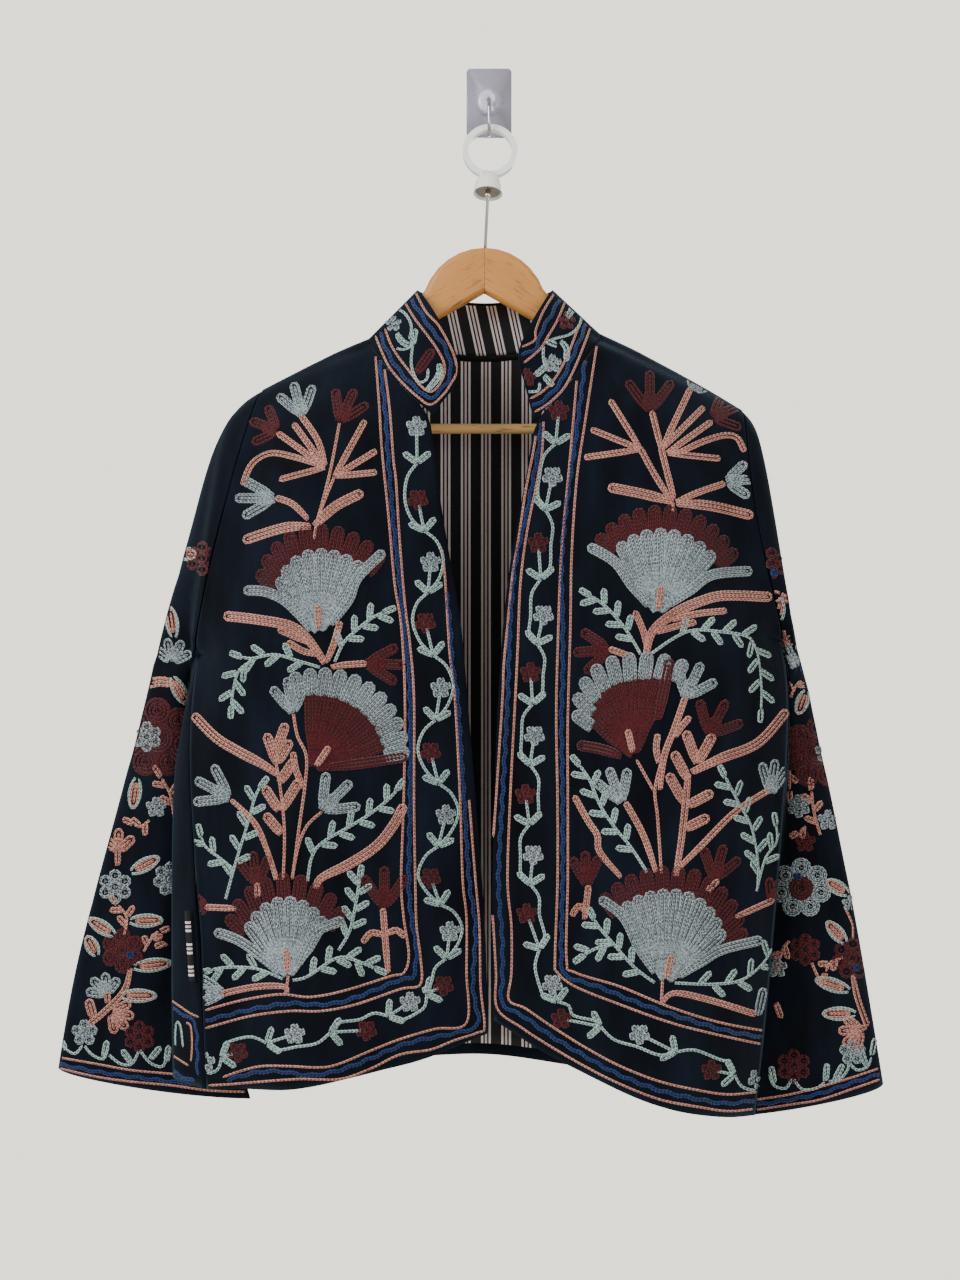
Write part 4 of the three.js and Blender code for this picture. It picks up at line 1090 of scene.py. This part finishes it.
for foot, tip in (
    ((-164, -581), (-174, -565)), ((-163, -581), (-150, -560)), ((-162, -599), (-173, -586)),
    ((-164, -559), (-154, -544)), ((-166, -544), (-157, -529)), ((-166, -544), (-173, -524)),
    ((-167, -535), (-160, -516)),
):
    right.stroke("coral", (foot, tip), 3)
right.row("coral", ((-154, -633), (-149, -608), (-142, -592), (-130, -581)))
right.tulip("silver", (-131, -581), 45, 29, 3, 38)
right.row("coral", ((-165, -635), (-172, -613), (-182, -590), (-202, -571)))
right.row("coral", ((-167, -635), (-174, -613), (-185, -590), (-203, -572)))
right.tulip("silver", (-202, -571), -62, 28, 3, 34)
right.fern(((-206, -650), (-200, -628), (-194, -608), (-189, -592), (-182, -568), (-174, -556)), 7)
right.fern(((-200, -626), (-210, -618), (-222, -608), (-227, -593)), 3)
right.fern(((-142, -636), (-139, -618), (-131, -606), (-109, -593), (-93, -583), (-77, -570), (-68, -558)), 9)
right.stroke("coral", ((-136, -642), (-131, -633), (-109, -622), (-88, -608), (-75, -592), (-68, -579)), 3)
right.tulip("maroon", (-82, -657), 0, 29, 3, 34)
right.stroke("coral", ((-79, -708), (-81, -686), (-83, -659)))
right.stroke("coral", ((-81, -678), (-92, -676), (-98, -682)))
right.stroke("coral", ((-81, -677), (-73, -674), (-67, -678)))
right.fern(((-118, -690), (-109, -674), (-104, -651), (-100, -625)), 7)
right.fern(((-154, -713), (-142, -710), (-120, -696), (-106, -697), (-82, -707)), 7)
right.fern(((-161, -712), (-182, -704), (-206, -703), (-225, -707)), 5)
right.stroke("coral", ((-159, -724), (-160, -718), (-182, -718), (-207, -723)))
right.tulip("silver", (-207, -723), -85, 22, 3, 28)
right.tulip("maroon", (-181, -639), -8, 23, 3, 30)
right.stroke("coral", ((-181, -649), (-181, -639)))
right.tulip("maroon", (-220, -656), -85, 15, 3, 34)
right.stroke("coral", ((-197, -657), (-220, -656)))
right.fan((-157, -712), -3, 38, (47, 60, 49), "silver", "maroon", 18, (
    ((-163, -708), (-178, -694), (-195, -682), (-211, -676)),
    ((-149, -701), (-142, -686), (-134, -674), (-117, -667)),
))
right.row("coral", ((-157, -709), (-159, -724)))
right.sewn()


# ---- embroidery of the left front ----------------------------------------------------------
# The same plant, worked by eye in mirror image, so that no two stems match exactly.

left = Needlework("front_left")
left.border(
    (
        (68, -245), (63, -303), (56, -381), (53, -458), (52, -510), (53, -572), (53, -635), (51, -697),
        (53, -707), (67, -718), (102, -732), (141, -746), (180, -756), (218, -764),
    ),
    (
        (75, -225), (68, -283), (60, -342), (56, -390), (57, -429), (57, -477), (56, -510), (57, -572),
        (57, -635), (56, -697), (61, -710), (85, -718), (117, -731), (156, -744), (188, -753),
        (218, -758),
    ),
    (
        (84, -215), (75, -274), (68, -322), (64, -381), (63, -438), (61, -510), (61, -572), (61, -635),
        (60, -697), (67, -707), (102, -718), (141, -734), (180, -746), (218, -753),
    ),
)
left.border(
    (
        (36, -288), (34, -301), (28, -332), (23, -366), (18, -396), (14, -436), (11, -468), (10, -494),
        (5, -572), (1, -635), (3, -671), (5, -707), (6, -735), (25, -750), (45, -763), (74, -780),
        (102, -794), (133, -806), (164, -812), (186, -815), (209, -813),
    ),
    (
        (40, -278), (39, -294), (35, -317), (28, -353), (20, -388), (16, -436), (14, -494), (10, -572),
        (7, -635), (10, -682), (10, -713), (10, -731), (28, -742), (46, -755), (74, -772), (102, -787),
        (133, -799), (164, -806), (186, -809), (209, -806),
    ),
    (
        (42, -277), (41, -300), (37, -324), (29, -364), (24, -404), (22, -452), (20, -494), (16, -572),
        (14, -635), (17, -671), (17, -707), (15, -728), (28, -735), (47, -748), (74, -765), (102, -780),
        (133, -792), (164, -799), (186, -802), (209, -800),
    ),
)
left.vine(
    (
        (54, -269), (49, -320), (38, -372), (42, -428), (32, -473), (35, -522), (28, -568), (34, -615),
        (29, -661), (49, -716), (56, -743), (117, -755), (173, -783), (209, -790),
    ),
    ("maroon", "silver"),
)
left.tulip("maroon", (125, -270), 0, 29, 3, 36)
left.tulip("silver", (159, -254), 30, 17, 3, 40)
left.tulip("maroon", (173, -274), 68, 23, 3, 42)
for tip in ((127, -271), (156, -253), (166, -267)):
    left.stroke("coral", ((134, -299), tip))
for tip in ((172, -278), (178, -306)):
    left.stroke("coral", ((138, -302), tip))
left.stroke("coral", ((138, -301), (148, -301), (166, -293), (183, -288), (193, -290), (198, -299)))
for tip in ((95, -262), (81, -284), (76, -305)):
    left.stroke("coral", ((118, -299), tip))
left.stroke("coral", ((141, -338), (129, -319), (118, -299)))
left.stroke("coral", ((144, -338), (139, -319), (134, -299)))
left.stroke("coral", ((144, -340), (121, -334), (96, -329)), 3)
left.stroke("coral", ((145, -340), (164, -332), (182, -326)))
left.stroke("coral", ((145, -341), (172, -343), (202, -350)), 3)
left.row("coral", ((143, -340), (143, -349)))
left.tulip("silver", (184, -324), 85, 20, 3, 38)
left.fan((131, -429), 7, 39, (59, 64, 61), "silver", "maroon", 18, (
    ((124, -421), (111, -405), (98, -387), (80, -376)),
    ((139, -421), (156, -409), (173, -397), (201, -394)),
))
left.stroke("coral", ((122, -460), (127, -441), (144, -427), (163, -418), (183, -413), (217, -414)), 3)
left.stroke("coral", ((141, -432), (163, -427), (183, -425)))
left.stroke("coral", ((129, -442), (145, -437), (159, -434)))
left.stroke("coral", ((123, -455), (120, -441), (114, -427)))
left.fern(((118, -459), (106, -439), (90, -421), (72, -409)), 7)
left.fern((
    (125, -459), (144, -446), (159, -440), (179, -441), (201, -445), (208, -456), (211, -472),
    (212, -491), (211, -510),
), 13)
left.tulip("maroon", (94, -455), -95, 25, 3, 38)
left.stroke("coral", ((114, -462), (95, -455)))
left.fan((113, -540), -13, 37, (38, 61, 70), "maroon", "silver", 16, (
    ((103, -538), (88, -533), (72, -530)),
    ((131, -510), (136, -487), (140, -466)),
))
left.tulip("silver", (152, -493), 26, 27, 3, 36)
left.stroke("coral", ((133, -565), (136, -539), (144, -517), (152, -494)))
left.row("coral", ((134, -630), (131, -586), (129, -564), (135, -539)))
left.row("coral", ((128, -565), (114, -540)))
left.stroke("coral", ((144, -524), (149, -516), (155, -509)))
left.stroke("coral", ((132, -544), (130, -532), (131, -523)))
left.tulip("silver", (103, -575), -20, 26, 3, 30)
left.stroke("coral", ((130, -629), (120, -600), (107, -576)))
left.row("coral", ((144, -632), (148, -604), (152, -568), (154, -551)))
left.row("coral", ((146, -632), (151, -604), (155, -568), (156, -551)))
for foot, tip in (
    ((152, -575), (141, -555)), ((154, -577), (171, -568)), ((155, -557), (145, -538)),
    ((152, -595), (168, -587)), ((162, -544), (154, -522)), ((162, -544), (173, -524)),
):
    left.stroke("coral", (foot, tip), 3)
left.stroke("coral", ((157, -551), (180, -540), (209, -528), (230, -505)), 3)
left.tulip("maroon", (171, -522), 27, 27, 3, 42)
left.stroke("coral", ((144, -629), (166, -607), (191, -582), (217, -565)))
left.tulip("silver", (219, -568), 8, 24, 3, 24)
left.stroke("coral", ((103, -633), (86, -613), (84, -600), (77, -589), (67, -571)))
left.fern(((123, -629), (110, -609), (97, -593), (86, -576), (77, -555), (65, -539)), 9)
left.fern(((209, -640), (209, -618), (204, -593), (195, -576), (180, -547)), 9)
left.fern(((208, -644), (215, -618), (224, -604), (222, -584)), 4)
left.tulip("maroon", (175, -635), 16, 25, 3, 34)
left.stroke("coral", ((169, -644), (177, -636)))
left.tulip("maroon", (76, -639), -3, 23, 3, 26)
left.stroke("coral", ((74, -666), (77, -641)))
left.stroke("coral", ((75, -660), (70, -655), (65, -661)))
left.stroke("coral", ((191, -664), (220, -651)))
left.tulip("maroon", (220, -653), 20, 18, 3, 26)
left.fan((137, -716), 11, 41, (66, 70, 55), "silver", "maroon", 18, (
    ((129, -707), (117, -688), (105, -664), (89, -651)),
    ((147, -710), (164, -699), (181, -689), (209, -682)),
))
left.fern(((129, -715), (113, -703), (97, -685), (85, -671), (78, -658)), 7)
left.fern(((96, -685), (81, -689), (67, -698)), 2)
left.fern(((144, -715), (175, -716), (198, -712), (216, -696), (224, -676)), 7)
left.stroke("coral", ((134, -731), (144, -723), (170, -728), (206, -739)))
left.row("coral", ((135, -709), (134, -731)))
left.lobe("silver", (209, -741), 12, 19, 3)
left.sewn()


# ---- embroidery of the sleeves -------------------------------------------------------------
# Garlands of round flowers, leaves and coral sprigs run down each sleeve to a vine and the
# triple line over the cuff.

SPRIG_BARE = 0.3  # share of a sprig's stem below its first lobe
SPRIG_TURN = 50
KNOT = 3.4  # radius of a blue knot
KNOT_LIFT = 0.6
OVER_FLOWER = 0.5  # how high a flower lies that is sewn over another one


def sprig(work, points, lobes, length=9.0):
    """A coral stem with fat lobes on both sides and at its tip."""
    stem = bent(points)
    work.row("coral", stem, smooth=False)
    for i in range(lobes):
        at = round((SPRIG_BARE + (1 - SPRIG_BARE) * i / (lobes - 1)) * (len(stem) - 1))
        turn = 0 if i == lobes - 1 else (SPRIG_TURN if i % 2 else -SPRIG_TURN)
        work.lobe("coral", stem[at], course(stem, at) + turn, length, 2)


def blossom(work, thread, middle, radius, petals=5, core=None, knot=None, lift=0.0):
    """A flower, which may have a core of another colour and a blue knot beside its middle."""
    work.lift = lift
    work.posy(thread, middle, radius, petals, core)
    if knot:
        work.lift = lift + KNOT_LIFT
        work.disc("blue", spot(knot), KNOT, ROW)
    work.lift = 0.0


sleeve_right = Needlework("sleeve_right")
sleeve_right.leaf((-242, -380), 95, 13)
blossom(sleeve_right, "maroon", (-224, -384), 14, 6, knot=(-211, -384))
sleeve_right.leaf((-246, -446), -8, 24)
sleeve_right.tulip("silver", (-248, -465), 8, 16, 4, 38)
sleeve_right.stroke("coral", ((-245, -482), (-257, -480), (-267, -482)), 3)
sleeve_right.leaf((-248, -476), 152, 24)
blossom(sleeve_right, "maroon", (-259, -524), 32, 7)
blossom(sleeve_right, "silver", (-267, -523), 12.5, 6, knot=(-273, -511), lift=OVER_FLOWER)
sleeve_right.leaf((-275, -555), 188, 24)
sprig(sleeve_right, ((-246, -586), (-249, -568), (-256, -555)), 4)
blossom(sleeve_right, "silver", (-260, -578), 9, 5)
sprig(sleeve_right, ((-265, -588), (-272, -593), (-278, -591)), 3, 7)
sleeve_right.stroke("coral", ((-290, -624), (-290, -610)), 2)
sleeve_right.tulip("coral", (-290, -613), 3, 15, 3, 44)
sleeve_right.leaf((-280, -629), 62, 25)
blossom(sleeve_right, "silver", (-292, -640), 14, 6)
blossom(sleeve_right, "silver", (-249, -634), 14, 7)
sprig(sleeve_right, ((-285, -678), (-283, -664), (-290, -654)), 4, 8)
sleeve_right.leaf((-281, -667), 88, 26)
sleeve_right.leaf((-292, -678), -58, 24)
sleeve_right.leaf((-306, -694), -28, 17)
blossom(sleeve_right, "maroon", (-286, -690), 18, 6, knot=(-280, -693))
sprig(sleeve_right, ((-270, -691), (-262, -678), (-257, -675)), 3, 6)
sprig(sleeve_right, ((-251, -686), (-257, -682)), 2, 6)
sleeve_right.leaf((-278, -703), 83, 30)
sleeve_right.leaf((-288, -725), 90, 28)
sleeve_right.stroke("coral", ((-280, -703), (-285, -721), (-301, -738), (-311, -746)), 2)
sleeve_right.stroke("coral", ((-298, -731), (-298, -724)), 2)
sleeve_right.tulip("silver", (-299, -724), -22, 14, 4, 40)
sleeve_right.stroke("coral", ((-309, -742), (-312, -731)), 3)
sleeve_right.tulip("coral", (-295, -738), 118, 15, 4, 36)
blossom(sleeve_right, "silver", (-316, -754), 11, 5)
blossom(sleeve_right, "maroon", (-273, -757), 13, 6)
sleeve_right.row("mint", ((-335, -760), (-330, -767), (-323, -770), (-317, -763)))
sleeve_right.row("mint", ((-316, -764), (-310, -771), (-301, -774), (-297, -763)))
sleeve_right.row("mint", ((-297, -771), (-288, -778), (-279, -778), (-273, -767)))
sleeve_right.row("mint", ((-273, -767), (-265, -777), (-255, -780), (-251, -769)))
for foot, way in (
    ((-330, -767), -30), ((-301, -773), 12), ((-279, -778), -35), ((-265, -775), 40), ((-252, -777), 8),
):
    sleeve_right.lobe("mint", foot, way, 11, 2)
sleeve_right.border(
    ((-337, -773), (-308, -778), (-280, -783), (-248, -786), (-218, -789), (-190, -790)),
    ((-337, -778), (-308, -784), (-280, -788), (-248, -792), (-218, -795), (-190, -795)),
    ((-338, -781), (-308, -788), (-280, -792), (-248, -795), (-218, -799), (-190, -800)),
)
sleeve_right.sewn()

sleeve_left = Needlework("sleeve_left")
blossom(sleeve_left, "maroon", (220, -388), 13, 6, knot=(222, -395))
sprig(sleeve_left, ((217, -416), (223, -410), (227, -412)), 2, 8)
sleeve_left.leaf((223, -437), 10, 22)
sleeve_left.tulip("coral", (226, -457), 5, 15, 3, 36)
sleeve_left.tulip("silver", (240, -469), -12, 19, 4, 34)
sleeve_left.disc("blue", spot((244, -470)), KNOT, ROW)
sprig(sleeve_left, ((234, -494), (239, -483), (244, -479)), 3, 8)
sleeve_left.leaf((247, -487), 200, 19)
blossom(sleeve_left, "maroon", (256, -535), 29, 7)
blossom(sleeve_left, "silver", (261, -535), 9, knot=(258, -528), lift=OVER_FLOWER)
blossom(sleeve_left, "maroon", (237, -531), 12, 6)
sprig(sleeve_left, ((234, -549), (234, -565)), 2, 6)
blossom(sleeve_left, "silver", (241, -577), 10, 6)
blossom(sleeve_left, "silver", (264, -588), 9, 5)
sprig(sleeve_left, ((258, -600), (253, -582), (251, -565)), 4, 8)
sprig(sleeve_left, ((247, -593), (241, -597)), 2, 6)
blossom(sleeve_left, "maroon", (246, -605), 9, 5)
blossom(sleeve_left, "silver", (243, -641), 24, 7, "maroon", (240, -632))
sleeve_left.leaf((280, -646), -58, 20)
blossom(sleeve_left, "silver", (281, -653), 7, 5)
sleeve_left.row("coral", ((278, -658), (283, -670), (283, -682)))
sleeve_left.leaf((278, -684), -42, 22)
blossom(sleeve_left, "maroon", (283, -696), 17, 7, knot=(286, -703))
sprig(sleeve_left, ((276, -695), (266, -699), (262, -707)), 3, 7)
sprig(sleeve_left, ((234, -682), (229, -688), (226, -697)), 3, 8)
blossom(sleeve_left, "silver", (224, -703), 9, 5)
blossom(sleeve_left, "maroon", (246, -689), 13, 6)
sleeve_left.row("coral", ((251, -699), (256, -710), (261, -716)))
sleeve_left.leaf((281, -721), -72, 28)
sleeve_left.leaf((286, -739), -90, 26)
sleeve_left.stroke("coral", ((283, -708), (287, -727), (294, -747)), 2)
sleeve_left.stroke("coral", ((294, -749), (287, -752)), 2)
sleeve_left.tulip("coral", (290, -752), -110, 15, 4, 38)
sleeve_left.lobe("coral", (223, -730), 160, 11, 2)
blossom(sleeve_left, "silver", (283, -769), 11, 5)
blossom(sleeve_left, "maroon", (237, -780), 14, 6)
sleeve_left.row("mint", ((218, -786), (222, -795), (231, -797), (236, -789)))
sleeve_left.row("mint", ((237, -790), (244, -798), (255, -797), (262, -792)))
sleeve_left.row("mint", ((264, -792), (273, -790), (279, -783), (280, -777)))
sleeve_left.row("mint", ((281, -778), (287, -783), (295, -780), (298, -772)))
for foot, way in (
    ((222, -794), -10), ((262, -792), 5), ((269, -791), 28), ((294, -780), -20), ((298, -772), 10),
):
    sleeve_left.lobe("mint", foot, way, 12, 2)
sleeve_left.border(
    ((208, -806), (234, -802), (258, -796), (285, -788), (308, -780)),
    ((208, -810), (234, -806), (258, -801), (285, -792), (308, -785)),
    ((208, -814), (234, -810), (258, -806), (285, -797), (308, -789)),
)
sleeve_left.sewn()


# ---- embroidery of the side and the back ---------------------------------------------------
# The hem's band goes on round the side and the back, and the cuffs' lines go round the sleeves.

side = Needlework("back")
side.border(
    ((-249, -728), (-242, -733), (-233, -739), (-226, -742)),
    ((-249, -734), (-240, -739), (-233, -743), (-229, -749), (-228, -767), (-228, -788)),
    ((-237, -746), (-233, -749), (-232, -764), (-233, -777)),
)
side.row("mint", ((-245, -764), (-245, -755), (-244, -746), (-241, -749), (-239, -766)))
side.border(
    ((-248, -771), (-242, -775), (-234, -780)),
    ((-248, -783), (-240, -788), (-229, -792)),
)
side.sewn()

BEHIND = Vector((-7.5, 910, -447.6)) * MM  # the back is laid out as it is seen from here,
REAR_Y = -12  # on a plane just behind it
HEM_SPAN = (-226, 204)  # right and left end of the band on the hem
HEM_LINES = (4.5, 52.0)  # heights over the hem of the two sets of three lines
HEM_STEPS = (0.0, 6.0, 11.5)  # heights of the three lines of a set
HEM_VINE = 33.0
CUFF_SPANS = {"sleeve_right": (-346, -232), "sleeve_left": (224, 318)}
CUFF_LINES = (4.5, 9.8, 15.0)  # heights over the cuff
EDGE_STEP = 18.0  # distance between the points of a lower edge
EDGE_REACH = 4  # the lowest corner of the cloth is sought this far to each side of them


def lower_edge(node, left, right):
    """Points of the layout plane behind the jacket that lie on a piece's lower edge."""
    corners = [v.co / MM for v in bpy.data.objects[node + "_cloth"].data.vertices]
    count = round((right - left) / EDGE_STEP)
    xs = [left + (right - left) * k / count for k in range(count + 1)]
    return [(x, min(c.z for c in corners if abs(c.x - x) < EDGE_REACH)) for x in xs]


def raised(edge, height):
    """The points of an edge, that much higher."""
    return [(x, z + height) for x, z in edge]


rear = Needlework("back", BEHIND, REAR_Y)
hem = lower_edge("back", *HEM_SPAN)
for height in HEM_LINES:
    rear.border(*(raised(hem, height + step) for step in HEM_STEPS))
rear.vine(raised(hem, HEM_VINE)[1::3], ("maroon", "silver"))
rear.sewn()

for node, span in CUFF_SPANS.items():
    cuff = lower_edge(node, *span)
    rear = Needlework(node, BEHIND, REAR_Y)
    rear.border(*(raised(cuff, height) for height in CUFF_LINES))
    rear.sewn()


# ---- camera, light and floor ---------------------------------------------------------------
# The eye stands level with the jacket's waist, square to the wall, in soft light from the
# front with a larger share from above left.

camera = bpy.data.objects.new("camera", bpy.data.cameras.new("camera"))
camera.data.sensor_width = 36
camera.data.lens = 30.65
camera.location = EYE
camera.rotation_euler = (math.radians(90), 0, 0)
bpy.context.scene.collection.objects.link(camera)
bpy.context.scene.camera = camera

JACKET_MIDDLE = Vector((0, -0.05, -0.42))  # the lamps are turned to this place
LAMPS = {
    # name: place and size in metres, power in watts
    "key": ((-1.7, -1.4, 0.6), 1.4, 58),
    "fill": ((1.5, -1.6, -0.2), 1.6, 20),
    "rear": ((0.4, 1.6, 0.6), 1.6, 24),
}
for name, (at, size, watts) in LAMPS.items():
    lamp = bpy.data.objects.new(name, bpy.data.lights.new(name, "AREA"))
    lamp.data.size = size
    lamp.data.energy = watts
    lamp.location = at
    lamp.rotation_euler = (JACKET_MIDDLE - lamp.location).to_track_quat("-Z", "Y").to_euler()
    bpy.context.scene.collection.objects.link(lamp)

ROOM_LIGHT = 0.85
ROOM_SEEN = 2.6  # the room is brighter to the eye than the light it gives the jacket
world = bpy.data.worlds.new("room")
world.use_nodes = True
room = world.node_tree
room.nodes["Background"].inputs["Color"].default_value = rgb(228, 222, 211)
to_eye = room.nodes.new("ShaderNodeLightPath")
glow = room.nodes.new("ShaderNodeMapRange")
glow.inputs["To Min"].default_value = ROOM_LIGHT
glow.inputs["To Max"].default_value = ROOM_SEEN
room.links.new(to_eye.outputs["Is Camera Ray"], glow.inputs["Value"])
room.links.new(glow.outputs["Result"], room.nodes["Background"].inputs["Strength"])
bpy.context.scene.world = world

FLOOR_Z = -1.45
FLOOR_RADIUS = 0.75
ground_shape = bmesh.new()
bmesh.ops.create_circle(ground_shape, cap_ends=True, segments=96, radius=FLOOR_RADIUS)
bmesh.ops.translate(ground_shape, verts=ground_shape.verts, vec=(0, 0, FLOOR_Z))
floor_paint = Finish("floor_paint", {"Base Color": rgb(232, 228, 220), "Roughness": 0.8})
floor_mesh = finished("floor", ground_shape)
floor_mesh.materials.append(floor_paint.material)
floor = bpy.data.objects.new("floor", floor_mesh)
bpy.context.scene.collection.objects.link(floor)
floor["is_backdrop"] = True

low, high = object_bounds()
